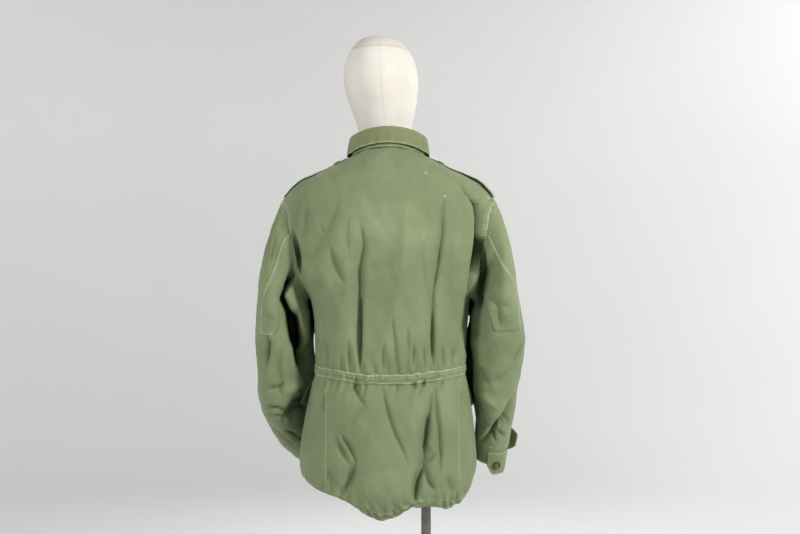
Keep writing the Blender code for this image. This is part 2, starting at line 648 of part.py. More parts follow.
# Gusset on the back of each sleeve, lapped over it from the armhole to just above the elbow.
skins = {}
for word, side in (("left", 1), ("right", -1)):
    grid = arms[word][0]
    skins[word] = grid + grid_normals(grid, closed=True, flip=side > 0) * (WALL + LAP)
    low, high, first, last = GUSSET
    patch = skins[word][low : high + 1, first : last + 1]
    cloth(f"sleeve_gusset_{word}", patch, olive, wall=0.001, side=1, flip=side > 0)

# Epaulettes along the shoulder seams, from the armhole to a point near the neck, each with its button.
for word, side in (("left", 1), ("right", -1)):
    edge = slice(0, 6) if side > 0 else slice(None, -7, -1)
    front = front_left[:, :-7:-1] if side > 0 else front_right[:, :6]
    both = np.concatenate([front[:, ::-1], back[:, edge]], 1)
    normal = grid_normals(both, flip=side < 0)
    strip, out = [], []
    for level, half, lift in EPAULETTE:
        row = np.interp(level, LEVELS, np.arange(len(LEVELS)))
        line = read_grid(both, row, np.arange(12.0))
        run = np.concatenate([[0], np.cumsum(np.linalg.norm(np.diff(line, axis=0), axis=1))])
        spots = (run[5] + run[6]) / 2 + half * np.linspace(-1, 1, 5)
        columns = np.interp(spots, run, np.arange(12.0))
        outward = unit(read_grid(normal, row, columns))
        strip.append(read_grid(both, row, columns) + outward * (LAP + lift))
    strip = np.array(strip)
    cloth(f"epaulette_{word}", strip, olive, wall=TRIM_WALL, side=1, flip=side < 0)
    up = grid_normals(strip, flip=side < 0)[-2, 2]
    spot = strip[-2, 2] + up * (TRIM_WALL + LAP)
    disc(f"epaulette_button_{word}", spot, up, BUTTON_R, BUTTON_T, button_olive)

# Storm flap over the front opening, one panel column to each side of the centre, and its buttons.
fronts = np.concatenate([front_right, front_left], 1)
front_normal = grid_normals(fronts)
centre = front_right.shape[1]
first, last = LEVELS.index(STORM_LOW), LEVELS.index(STORM_HIGH)
rows = np.arange(first, last + 1)[:, None]
columns = np.array([centre - 2.4, centre - 2, centre - 1, centre, centre + 1, centre + 1.4])
lift = unit(read_grid(front_normal, rows, columns)) * LAP
flap = read_grid(fronts, rows, columns) + lift
cloth("storm_flap", flap, olive, wall=TRIM_WALL, side=1)
flap_normal = grid_normals(flap)
for i, z in enumerate(FRONT_BUTTON_Z):
    row = np.interp(z, flap[:, 1, 2], np.arange(len(flap)))
    up = unit(read_grid(flap_normal, row, 1.0))
    spot = read_grid(flap, row, 1.0) + up * (TRIM_WALL + LAP)
    disc(f"front_button_{i + 1}", spot, up, BUTTON_R, BUTTON_T, button_olive)

# Waist channel: the drawcord's casing, puckered, in one run for each panel.
for word, panel, low, high in (
    ("back", back, 0.06, back.shape[1] - 1.06),
    ("left", front_left, 1.5, front_left.shape[1] - 1.03),
    ("right", front_right, 0.03, front_right.shape[1] - 2.5),
):
    count = 2 * int(high - low) + 1
    columns = np.linspace(low, high, count)
    pucker = 0.0006 + 0.0011 * (np.arange(count) % 2)
    normal = grid_normals(panel)
    band = []
    for level, puff in ((CHANNEL[0], 0), (sum(CHANNEL) / 2, 1), (CHANNEL[1], 0)):
        row = np.interp(level, LEVELS, np.arange(len(LEVELS)))
        points = read_grid(panel, row, columns)
        away = (2 * LAP + puff * pucker)[:, None]
        band.append(points + unit(read_grid(normal, row, columns)) * away)
    cloth(f"waist_channel_{word}", np.array(band), olive, wall=0.001, side=1)

# Flaps of the lower pockets, sewn along their tops. The left one's rear corner stands away.
for word, panel, side, loose, flare in (
    ("left", front_left, 1, 1.0, 0.0062),
    ("right", front_right, -1, 0.5, 0.0),
):
    normal = grid_normals(panel)
    columns = np.array(FLAP_COLUMNS)
    columns = panel.shape[1] - 1 - columns if side > 0 else columns
    spread = np.linspace(0, 1, len(columns))
    sheet = []
    for level, drop, lift in FLAP:
        row = np.interp(level - drop * np.sin(math.pi * spread), LEVELS, np.arange(len(LEVELS)))
        away = 1.5 * LAP + lift * loose + flare * (lift / FLAP[-1][2]) ** 2 * (1 - spread) ** 2
        lift = unit(read_grid(normal, row, columns)) * away[:, None]
        sheet.append(read_grid(panel, row, columns) + lift)
    cloth(f"pocket_flap_{word}", np.array(sheet), olive, wall=TRIM_WALL, side=1, flip=side < 0)

# Cuff tabs: one hangs below the back of each cuff with its button, and one sticks out past the arm.
for word, side in (("left", 1), ("right", -1)):
    skin = skins[word]
    last = len(skin) - 1
    along = unit((skin[-1] - skin[-2]).mean(0))
    tab = []
    for ring, past, low, high in TAB:
        points = read_grid(skin, last + 1 + ring, np.linspace(low, high, 6))
        tab.append(points + along * past)
    tab = np.array(tab)
    cloth(f"cuff_tab_{word}", tab, olive, wall=TRIM_WALL, side=1, flip=side > 0)
    up = grid_normals(tab, flip=side > 0)[2, 3]
    spot = tab[2, 3] + up * (TRIM_WALL + LAP)
    disc(f"cuff_button_{word}", spot, up, BUTTON_R, BUTTON_T, button_olive)
    strap = []
    for column, past, low, high in STRAP:
        points = read_grid(skin, last + 1 + np.linspace(low, high, 4), column)
        tangent = unit((skin[last - 3, column] - skin[last - 3, column - 1]) * [1, 1, 0.2])
        strap.append(points + tangent * past)
    strap = np.array(strap).transpose(1, 0, 2)
    cloth(f"cuff_strap_{word}", strap, olive, wall=TRIM_WALL, side=1, flip=side < 0)

# Dress form: hips to shoulders a little inside the jacket, then the neck and the egg-shaped head.
theta = np.linspace(0, 2 * math.pi, FORM_COLUMNS, endpoint=False)
rings = []
for level in FORM_LEVELS:
    points, _, normal = torso_frame(theta, np.full(FORM_COLUMNS, float(level)))
    depth = WALL + FORM_TOUCH + FORM_SHRINK * min(1, max(0, (15.2 - level) / 3.5))
    depth = depth + 0.022 * np.sin(theta) ** 2
    depth = depth + 0.016 * np.clip((np.abs(np.sin(theta)) - 0.2) / 0.25, 0, 1)
    if level < LEVELS[5]:
        normal = unit(normal * [1, 1, 0])
    rings.append(points - normal * depth[:, None])
rings[0][:, 2] = FORM_BOTTOM
for z, x, y, half, behind, ahead in HEAD:
    deep = np.where(np.sin(theta) > 0, behind, ahead)
    rings.append(np.stack([x + half * np.cos(theta), y + deep * np.sin(theta), np.full(FORM_COLUMNS, z)], -1))
points = np.concatenate([np.concatenate(rings), [HEAD_TOP]])
index = np.arange(len(points) - 1).reshape(-1, FORM_COLUMNS)
right = np.roll(index, -1, 1)
faces = np.stack([index[:-1], right[:-1], right[1:], index[1:]], -1).reshape(-1, 4).tolist()
faces += [[int(a), int(b), len(points) - 1] for a, b in zip(index[-1], right[-1])]
faces.append(index[0][::-1].tolist())
mesh = bpy.data.meshes.new("dress_form")
mesh.from_pydata(points.tolist(), [], faces)
place(bpy.data.objects.new("dress_form", mesh), linen)

# Pole beside the middle, its sockets, and the round plate that stands on the floor.
r = POLE_R
turned(
    "base_plate",
    [
        (0, BASE_T), (BASE_R - 0.004, BASE_T), (BASE_R, BASE_T - 0.003),
        (BASE_R, 0.0015), (BASE_R - 0.0015, 0), (0, 0),
    ],
    (0, 0, 0), base_black, 36,
)  # fmt: skip
high, low = FORM_BOTTOM - 0.0003, BASE_T + 0.0003
turned("pole", [(0, high), (r, high), (r, low), (0, low)], (POLE_X, 0, 0), steel, 16)
inside = r + 0.0003
for name, low, high in (
    ("base_socket", BASE_T + 0.0003, BASE_T + SOCKET_T),
    ("form_socket", FORM_BOTTOM - SOCKET_T, FORM_BOTTOM - 0.0003),
):
    turned(
        name,
        [(inside, high), (SOCKET_R - 0.002, high), (SOCKET_R, high - 0.002), (SOCKET_R, low + 0.002),
         (SOCKET_R - 0.002, low), (inside, low), (inside, high)],
        (POLE_X, 0, 0), steel, 16,
    )  # fmt: skip
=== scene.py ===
"""Looks of a cotton sateen field jacket on an egg-headed dress form, seen from behind, on a pale floor.

Metres, +Z up, the jacket's front faces -Y and the wearer's left is +X, as in the CAD. Every piece of
cloth is a grid of points worked out as a whole from two parameters: how far round the body or arm, and
how far down it. Folds are heights along the surface's normal.
"""

import math

import bpy
import numpy as np
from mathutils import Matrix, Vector


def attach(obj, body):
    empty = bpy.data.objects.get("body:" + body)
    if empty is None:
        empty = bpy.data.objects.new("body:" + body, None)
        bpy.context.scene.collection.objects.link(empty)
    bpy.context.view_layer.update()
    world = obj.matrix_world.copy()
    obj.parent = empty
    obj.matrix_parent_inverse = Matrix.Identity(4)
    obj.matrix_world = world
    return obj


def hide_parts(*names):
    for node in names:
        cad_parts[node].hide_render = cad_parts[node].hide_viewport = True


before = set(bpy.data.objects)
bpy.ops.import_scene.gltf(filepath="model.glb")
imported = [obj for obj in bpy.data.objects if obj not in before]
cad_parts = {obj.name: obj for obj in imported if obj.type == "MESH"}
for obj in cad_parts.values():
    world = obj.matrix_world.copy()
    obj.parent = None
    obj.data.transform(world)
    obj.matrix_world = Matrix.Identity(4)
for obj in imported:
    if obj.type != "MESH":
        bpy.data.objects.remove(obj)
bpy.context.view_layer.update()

# ---------------------------------------------------------------------------------------------------
# Dress form. A moulded torso, neck and faceless egg head under fine cream linen, sewn from four gores
# with a crown cap on top. The jacket hangs on its shoulders and hides it below the neck.
# ---------------------------------------------------------------------------------------------------
TORSO = [
    # side_z, back_z, front_z, left, right, back, front, square
    (0.788, 0.748, 0.775, 0.160, 0.160, 0.124, 0.124, 2.3),  # 0 hem
    (0.803, 0.764, 0.790, 0.178, 0.176, 0.137, 0.138, 2.3),
    (0.830, 0.796, 0.820, 0.189, 0.187, 0.143, 0.146, 2.3),
    (0.870, 0.842, 0.866, 0.189, 0.186, 0.143, 0.148, 2.3),
    (0.930, 0.910, 0.926, 0.180, 0.180, 0.138, 0.146, 2.3),
    (0.990, 0.975, 0.987, 0.167, 0.170, 0.131, 0.139, 2.3),
    (1.024, 1.012, 1.020, 0.157, 0.1625, 0.123, 0.130, 2.3),  # 6 lower edge of the waist channel
    (1.044, 1.031, 1.040, 0.156, 0.1625, 0.123, 0.130, 2.3),  # 7 its upper edge
    (1.090, 1.080, 1.088, 0.158, 0.166, 0.127, 0.135, 2.3),
    (1.140, 1.135, 1.140, 0.160, 0.170, 0.130, 0.140, 2.3),
    (1.185, 1.187, 1.185, 0.169, 0.175, 0.132, 0.142, 2.3),  # 10 underarm
    (1.230, 1.237, 1.230, 0.194, 0.194, 0.132, 0.141, 2.3),
    (1.280, 1.288, 1.278, 0.214, 0.214, 0.132, 0.139, 2.3),
    (1.330, 1.338, 1.322, 0.228, 0.228, 0.130, 0.135, 2.3),
    (1.369, 1.382, 1.358, 0.230, 0.230, 0.127, 0.130, 2.3),
    (1.392, 1.413, 1.383, 0.227, 0.227, 0.122, 0.124, 2.3),  # 15 shoulder point
    (1.4265, 1.445, 1.404, 0.195, 0.195, 0.113, 0.117, 2.25),
    (1.445, 1.467, 1.420, 0.159, 0.159, 0.102, 0.108, 2.2),
    (1.462, 1.485, 1.432, 0.122, 0.122, 0.090, 0.098, 2.1),
    (1.4865, 1.499, 1.444, 0.0802, 0.0784, 0.076, 0.085, 2.0),  # 19 neck
]
NECK_LEVEL = 19
# How much lower the hem hangs behind at each x, and its waves all round; both die out some levels up. The
# wall is one layer of the cloth.
HEM_X = (-0.16, -0.12, -0.075, -0.045, -0.02, 0.012, 0.04, 0.06, 0.085, 0.12, 0.16)
HEM_DROP = (0.030, 0.021, -0.002, -0.006, 0.005, 0.014, 0.009, 0.001, -0.008, -0.006, 0.000)
HEM_WAVES, HEM_WAVE = 17, 0.0026
DROP_LEVELS, WAVE_LEVELS = 3.0, 1.6
WALL = 0.0015
# The jacket's levels that shape the form. Below the shoulders the form shrinks away inside the jacket.
FORM_LEVELS = (
    3.2, 4.0, 5.0, 6.0, 7.0, 8.2, 9.6, 11.0, 12.3, 13.4, 14.3, 15.0, 15.45, 16.1, 16.9, 17.7, 18.4, 19,
)  # fmt: skip
FORM_BOTTOM, FORM_SHRINK, FORM_TOUCH = 0.868, 0.034, 0.0010
HEAD = [
    # z, x, y, half_width, back, front
    (1.506, 0.004, 0.004, 0.0625, 0.058, 0.060),
    (1.528, 0.007, 0.003, 0.0575, 0.056, 0.058),
    (1.552, 0.009, 0.002, 0.0590, 0.060, 0.062),
    (1.580, 0.0115, 0.001, 0.0665, 0.073, 0.073),
    (1.612, 0.0145, 0.000, 0.0750, 0.087, 0.084),
    (1.648, 0.0170, 0.000, 0.0797, 0.095, 0.091),
    (1.682, 0.0185, 0.001, 0.0760, 0.091, 0.087),
    (1.710, 0.0200, 0.002, 0.0645, 0.077, 0.073),
    (1.731, 0.0215, 0.003, 0.0455, 0.054, 0.051),
    (1.741, 0.0225, 0.003, 0.0240, 0.029, 0.028),
    (1.7445, 0.0230, 0.003, 0.0004, 0.0004, 0.0004),
]
CROWN_SEAM_Z = 1.7115
# Half the width of the sewn grooves, and the radius by which angles round the head become lengths.
GROOVE, HEAD_RADIUS = 0.0016, 0.08
LINEN_PALE, LINEN_DEEP = (0.745, 0.71, 0.655, 1), (0.675, 0.632, 0.565, 1)
LINEN_SEAM = (0.47, 0.415, 0.335, 1)
WHITE = (1, 1, 1, 1)
FORM_COLUMNS, FORM_ROWS = 120, 190


def spline(rows, at):
    """Catmull-Rom curve through the rows of a table or grid, read at fractional row numbers."""
    rows, at = np.asarray(rows, float), np.asarray(at, float)
    i = np.clip(np.floor(at).astype(int), 0, len(rows) - 2)
    f = (at - i).reshape(at.shape + (1,) * (rows.ndim - 1))
    before, low = rows[np.maximum(i - 1, 0)], rows[i]
    high, after = rows[i + 1], rows[np.minimum(i + 2, len(rows) - 1)]
    bend = 2 * before - 5 * low + 4 * high - after
    twist = 3 * (low - high) + after - before
    return low + 0.5 * f * (high - before + f * (bend + f * twist))


def unit(v):
    """Vectors made one long."""
    return v / np.linalg.norm(v, axis=-1, keepdims=True)


def smooth(x, low, high):
    """A ramp from 0 at low to 1 at high with soft ends."""
    x = np.clip((x - low) / (high - low), 0, 1)
    return x * x * (3 - 2 * x)


def bell(away, width, power=2):
    """1 at no distance, falling to either side as a bell of the width; a low power makes it peaked."""
    return np.exp(-(np.abs(away / width) ** power))


def torso(theta, level):
    """Points of the smooth body: a superellipse at each level, raised or lowered towards its middle."""
    theta, level = np.broadcast_arrays(np.asarray(theta, float), np.asarray(level, float))
    side_z, back_z, front_z, left, right, back, front, n = np.moveaxis(spline(TORSO, level), -1, 0)
    c, s = np.cos(theta), np.sin(theta)
    a, b = np.where(c > 0, left, right), np.where(s > 0, back, front)
    r = ((np.abs(c) / a) ** n + (np.abs(s) / b) ** n) ** (-1 / n)
    z = side_z + (np.where(s > 0, back_z, front_z) - side_z) * s * s
    low = np.clip(1 - level / DROP_LEVELS, 0, 1) ** 2
    z = z - np.interp(r * c, HEM_X, HEM_DROP) * np.clip(1 + 2 * s, 0, 1) * low
    wave = HEM_WAVE * np.sin(HEM_WAVES * theta) * np.clip(1 - level / WAVE_LEVELS, 0, 1)
    r = r + wave
    return np.stack([r * c, r * s, z + 0.6 * wave], -1)


def torso_frame(theta, level):
    """Points, unit tangents round the body and unit normals outwards."""
    step = 1e-4
    points = torso(theta, level)
    round_ = torso(theta + step, level) - torso(theta - step, level)
    up = torso(theta, np.minimum(level + step, NECK_LEVEL)) - torso(theta, np.maximum(level - step, 0))
    return points, unit(round_), unit(np.cross(round_, up))


def grid_normals(grid, closed=False, flip=False):
    """Unit normals of a grid from the differences along its columns and rows."""
    if closed:
        across = np.roll(grid, -1, 1) - np.roll(grid, 1, 1)
    else:
        across = np.gradient(grid, axis=1)
    normal = unit(np.cross(across, np.gradient(grid, axis=0)) + 1e-15)
    return -normal if flip else normal


def runs(grid, axis):
    """Lengths from the first row or column on: the steps between neighbours, added up."""
    step = np.linalg.norm(np.diff(grid, axis=axis), axis=-1)
    start = np.zeros_like(np.take(step, [0], axis))
    return np.concatenate([start, np.cumsum(step, axis)], axis)


def shell(name, grid, material, wall=0.0, side=-1, closed=False, flip=False, marks=None):
    """Object from a grid: neighbours join in quads, UVs are metres along the cloth, marks are attributes
    per point, and the wall is added inwards (-1) or outwards (1)."""
    rows, columns = grid.shape[:2]
    index = np.arange(rows * columns).reshape(rows, columns)
    wide = np.concatenate([grid, grid[:, :1]], 1) if closed else grid
    order = np.concatenate([index, index[:, :1]], 1) if closed else index
    u, v = runs(wide, 1), runs(wide, 0)
    corners = [(slice(None, -1), slice(None, -1)), (slice(None, -1), slice(1, None)),
               (slice(1, None), slice(1, None)), (slice(1, None), slice(None, -1))]  # fmt: skip
    if flip:
        corners = corners[::-1]
    quads = np.stack([order[c] for c in corners], -1).reshape(-1, 4)
    flat = np.stack([np.stack([u[c], v[c]], -1) for c in corners], -2).reshape(-1)
    mesh = bpy.data.meshes.new(name)
    mesh.from_pydata(grid.reshape(-1, 3), [], quads)
    mesh.uv_layers.new(name="cloth").data.foreach_set("uv", flat)
    for mark, values in (marks or {}).items():
        spot = mesh.attributes.new(mark, "FLOAT", "POINT")
        spot.data.foreach_set("value", np.broadcast_to(values, (rows, columns)).reshape(-1))
    mesh.polygons.foreach_set("use_smooth", [True] * len(quads))
    mesh.materials.append(material)
    piece = bpy.data.objects.new(name, mesh)
    bpy.context.scene.collection.objects.link(piece)
    if wall:
        skin = piece.modifiers.new("wall", "SOLIDIFY")
        skin.thickness = wall
        skin.offset = side
        skin.use_rim = True
    return piece


def settle(piece, slot, *nodes):
    """Every piece rides on the one body and may stand for CAD nodes, which it hides. The slot is not used."""
    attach(piece, "root")
    if nodes:
        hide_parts(*nodes)


def add(tree, kind, sockets, **attributes):
    """A shader node with its attributes and sockets."""
    node = tree.nodes.new("ShaderNode" + kind)
    for key, value in attributes.items():
        setattr(node, key, value)
    join(tree, node, sockets)
    return node


def join(tree, node, sockets):
    """Sets a node's sockets to values, or links them to other nodes' outputs."""
    for key, value in sockets.items():
        if isinstance(value, bpy.types.NodeSocket):
            tree.links.new(value, node.inputs[key])
        else:
            node.inputs[key].default_value = value


def ramp(tree, value, stops):
    """A colour ramp read at the value: stops are positions and colours."""
    node = add(tree, "ValToRGB", {"Fac": value})
    while len(node.color_ramp.elements) < len(stops):
        node.color_ramp.elements.new(0.5)
    for element, (spot, colour) in zip(node.color_ramp.elements, stops):
        element.position = spot
        element.color = colour
    return node.outputs["Color"]


def blend(tree, factor, low, high, how="MIX"):
    """Two colours mixed by a factor."""
    node = add(tree, "Mix", {0: factor, 6: low, 7: high}, data_type="RGBA", blend_type=how)
    return node.outputs[2]


def finish(name, sockets):
    """A Principled material with its plain settings, its tree, and its shader node."""
    material = bpy.data.materials.new(name)
    material.use_nodes = True
    shader = material.node_tree.nodes["Principled BSDF"]
    join(material.node_tree, shader, sockets)
    return material, material.node_tree, shader


def places(tree):
    """Positions on a piece, in metres."""
    return add(tree, "TexCoord", {}).outputs["Object"]


def along_cloth(tree):
    """Metres along the cloth, from a piece's own map."""
    return add(tree, "UVMap", {}, uv_map="cloth").outputs["UV"]


def mark(tree, name):
    """A mark that a piece's points carry."""
    return add(tree, "Attribute", {}, attribute_name=name).outputs["Fac"]


def noise(tree, vector, scale, detail, sockets=(), **attributes):
    """An uneven pattern from 0 to 1."""
    sockets = {"Vector": vector, "Scale": scale, "Detail": detail, **dict(sockets)}
    return add(tree, "TexNoise", sockets, **attributes).outputs["Fac"]


def yarns(tree, vector, scale, way, **sockets):
    """Even bands across one way of the cloth."""
    sockets = {"Vector": vector, "Scale": scale, **sockets}
    return add(tree, "TexWave", sockets, bands_direction=way).outputs["Color"]


def between(tree, value, low, high, start=0.0, end=1.0):
    """A value that runs from start to end, carried over to the range from low to high."""
    sockets = {"Value": value, "From Min": start, "From Max": end, "To Min": low, "To Max": high}
    return add(tree, "MapRange", sockets).outputs["Result"]


def relief(tree, height, strength, distance, **below):
    """Normals bent by a pattern of heights, on top of the ones below where there are any."""
    sockets = {"Height": height, "Strength": strength, "Distance": distance, **below}
    return add(tree, "Bump", sockets).outputs["Normal"]


def linen_finish():
    """Cream linen: soft stains, a little thread colour, plain weave bump, darker seams, and a crown darkened
    as painted shade.
    """
    material, tree, shader = finish("form_linen", {"Roughness": 0.85, "Sheen Weight": 0.12})
    spot, cloth = places(tree), along_cloth(tree)
    stain = noise(tree, spot, 9.0, 4.0, {"Roughness": 0.6})
    colour = ramp(tree, stain, [(0.32, LINEN_DEEP), (0.62, LINEN_PALE)])
    thread = ramp(tree, noise(tree, spot, 420.0, 2.0), [(0.3, (0.88, 0.87, 0.85, 1)), (0.7, WHITE)])
    colour = blend(tree, 1.0, colour, thread, "MULTIPLY")
    # The seams darken towards the seam colour, and the crown cap does a little as painted shade.
    colour = blend(tree, mark(tree, "shade"), colour, LINEN_SEAM)
    warp, weft = (yarns(tree, cloth, 420.0, way, Distortion=0.6) for way in "XY")
    bump = relief(tree, blend(tree, 0.5, warp, weft), 0.25, 0.0002)
    join(tree, shader, {"Base Color": colour, "Normal": bump})
    return material


def form_grid():
    """Rings of the form: below the neck the jacket's own rings drawn inwards, above it ellipses with
    centres that lean to one side; a curve through them gives even rows, and each seam is a fine groove."""
    theta = np.linspace(0, 2 * math.pi, FORM_COLUMNS, endpoint=False)
    levels = np.array(FORM_LEVELS, float)[:, None]
    points, _, normal = torso_frame(theta[None], levels)
    s = np.abs(np.sin(theta))[None]
    # The form is slimmer than the jacket, most of all at its back and front and below the shoulders.
    depth = WALL + FORM_TOUCH + FORM_SHRINK * np.clip((15.2 - levels) / 3.5, 0, 1)
    depth = depth + 0.022 * s * s + 0.016 * np.clip((s - 0.2) / 0.25, 0, 1)
    level_normal = unit(normal * [1, 1, 0])
    normal = np.where((levels < 4.6)[..., None], level_normal, normal)
    body = points - normal * depth[..., None]
    body[0, :, 2] = FORM_BOTTOM
    z, x, y, half, behind, ahead = (column[:, None] for column in np.array(HEAD).T)
    deep = np.where(np.sin(theta) > 0, behind, ahead)
    head = np.stack([x + half * np.cos(theta), y + deep * np.sin(theta), z + 0 * deep], -1)
    rings = np.concatenate([body, head])
    grid = spline(rings, np.linspace(0, len(rings) - 1, FORM_ROWS))
    across = np.abs((theta + math.pi / 4) % (math.pi / 2) - math.pi / 4)
    gore = bell(across * HEAD_RADIUS, GROOVE)[None] * (grid[..., 2] > 1.5)
    crown = bell(grid[..., 2] - CROWN_SEAM_Z, GROOVE)
    out = grid_normals(grid, closed=True)
    groove = 0.0005 * gore + 0.0009 * crown
    # The seams are darker; above the crown seam the cap is darkened as painted shade on the top of the head.
    shade = 0.24 * gore + 0.75 * crown + 0.18 * (grid[..., 2] > CROWN_SEAM_Z)
    return grid - out * groove[..., None], np.clip(shade, 0, 1)


form_points, form_shade = form_grid()
form_cloth = shell("linen_form", form_points, linen_finish(), closed=True, marks={"shade": form_shade})
settle(form_cloth, "form_linen", "dress_form")

# ---------------------------------------------------------------------------------------------------
# Stand. A brushed steel pole in two turned sockets, on a round steel plate with dark enamel. These are
# the CAD parts themselves with finer finishes.
# ---------------------------------------------------------------------------------------------------
STEEL, STEEL_DARK = (0.29, 0.27, 0.25, 1), (0.17, 0.155, 0.14, 1)
ENAMEL, ENAMEL_DUST = (0.022, 0.022, 0.024, 1), (0.06, 0.058, 0.055, 1)


def hard_finish(name, sockets, pattern, stops, rough, grain, strength):
    """A hard skin: a pattern sets its colour and how rough it is, and a grain is its fine relief. Both
    are functions that take the tree."""
    material, tree, shader = finish(name, sockets)
    value = pattern(tree)
    dull = between(tree, value, *rough)
    bump = relief(tree, value if grain is pattern else grain(tree), strength, 0.0001)
    join(tree, shader, {"Base Color": ramp(tree, value, stops), "Roughness": dull, "Normal": bump})
    return material


def streaks(tree):
    """Fine brushed streaks round the pole."""
    flat = add(tree, "Mapping", {"Vector": places(tree), "Scale": (1.0, 1.0, 26.0)}).outputs["Vector"]
    return noise(tree, flat, 60.0, 5.0)


def dust(tree):
    """Worn, dusty patches."""
    return noise(tree, places(tree), 14.0, 6.0, {"Roughness": 0.65})


def orange_peel(tree):
    """The fine dimples of stoved enamel."""
    return noise(tree, places(tree), 700.0, 1.0)


steel = hard_finish(
    "brushed_steel_finish", {"Metallic": 0.9, "Roughness": 0.4},
    streaks, [(0.3, STEEL_DARK), (0.7, STEEL)], (0.32, 0.52), streaks, 0.1,
)  # fmt: skip
enamel = hard_finish(
    "base_enamel_finish", {"Roughness": 0.4, "Coat Weight": 0.2},
    dust, [(0.35, ENAMEL), (0.75, ENAMEL_DUST)], (0.3, 0.62), orange_peel, 0.15,
)  # fmt: skip
for node, look in (("pole", steel), ("base_socket", steel), ("form_socket", steel), ("base_plate", enamel)):
    for slot in bpy.data.objects[node].material_slots:
        slot.link = "OBJECT"
        slot.material = look

# ---------------------------------------------------------------------------------------------------
# Back. One panel of washed olive cotton sateen, drawn in at the waist, with an action pleat that gapes
# beside the right armhole. Its hem is turned up and stitched, and it hangs in long soft folds.
# ---------------------------------------------------------------------------------------------------
# Levels of the body at the hem, at the waist channel's edges, and at the armhole's ends and middle.
HEM, CHANNEL_LOW, CHANNEL_HIGH = 0.0, 6.0, 7.0
ARMHOLE_LOW, ARMHOLE_MIDDLE, ARMHOLE_HIGH = 10.0, 12.5, 15.0
ARMHOLE_HALF = 2.5
ARMHOLE_BACK, ARMHOLE_FRONT = math.radians(17.5), math.radians(21.0)
# The gap between two panels' edges, and the stitching's height above the hem's edge.
SEAM, HEM_STITCH = 0.0006, 0.0155
PLEAT = [
    # level, x of the pleat, how far it is open
    (0.0, -0.128, 0.0),
    (7.2, -0.137, 0.0),
    (8.2, -0.146, 0.35),
    (9.9, -0.156, 0.80),
    (11.4, -0.165, 1.0),
    (12.5, -0.173, 1.0),
    (13.5, -0.176, 0.86),
    (14.2, -0.171, 0.70),
    (15.0, -0.159, 0.53),
    (15.6, -0.143, 0.40),
    (16.3, -0.124, 0.24),
    (17.2, -0.104, 0.0),
    (18.0, -0.083, 0.0),
    (19.0, -0.050, 0.0),
]
PLEAT_FOLD = [
    # place across the pleat when flat, its place along the back when open, and out of it, in millimetres
    (-24, -24, 0.5),
    (-15, -13, 3.5),
    (-8, -4.5, 5.5),
    (-3, 0.5, 3.5),
    (1, 1.5, -1.0),
    (5, -3.5, -9.0),
    (10, -10, -20.0),
    (15, -10, -32.0),
    (20, -2, -40.0),
    (26, 8, -41.0),
    (31, 15, -34.0),
]
ROW_STEP = 0.0041
ARMHOLE_ROWS = 61
# Columns are pressed together within this length of the armhole, and rings are measured at this many angles.
BACK_REACH = 0.13
RING_ANGLES = 721
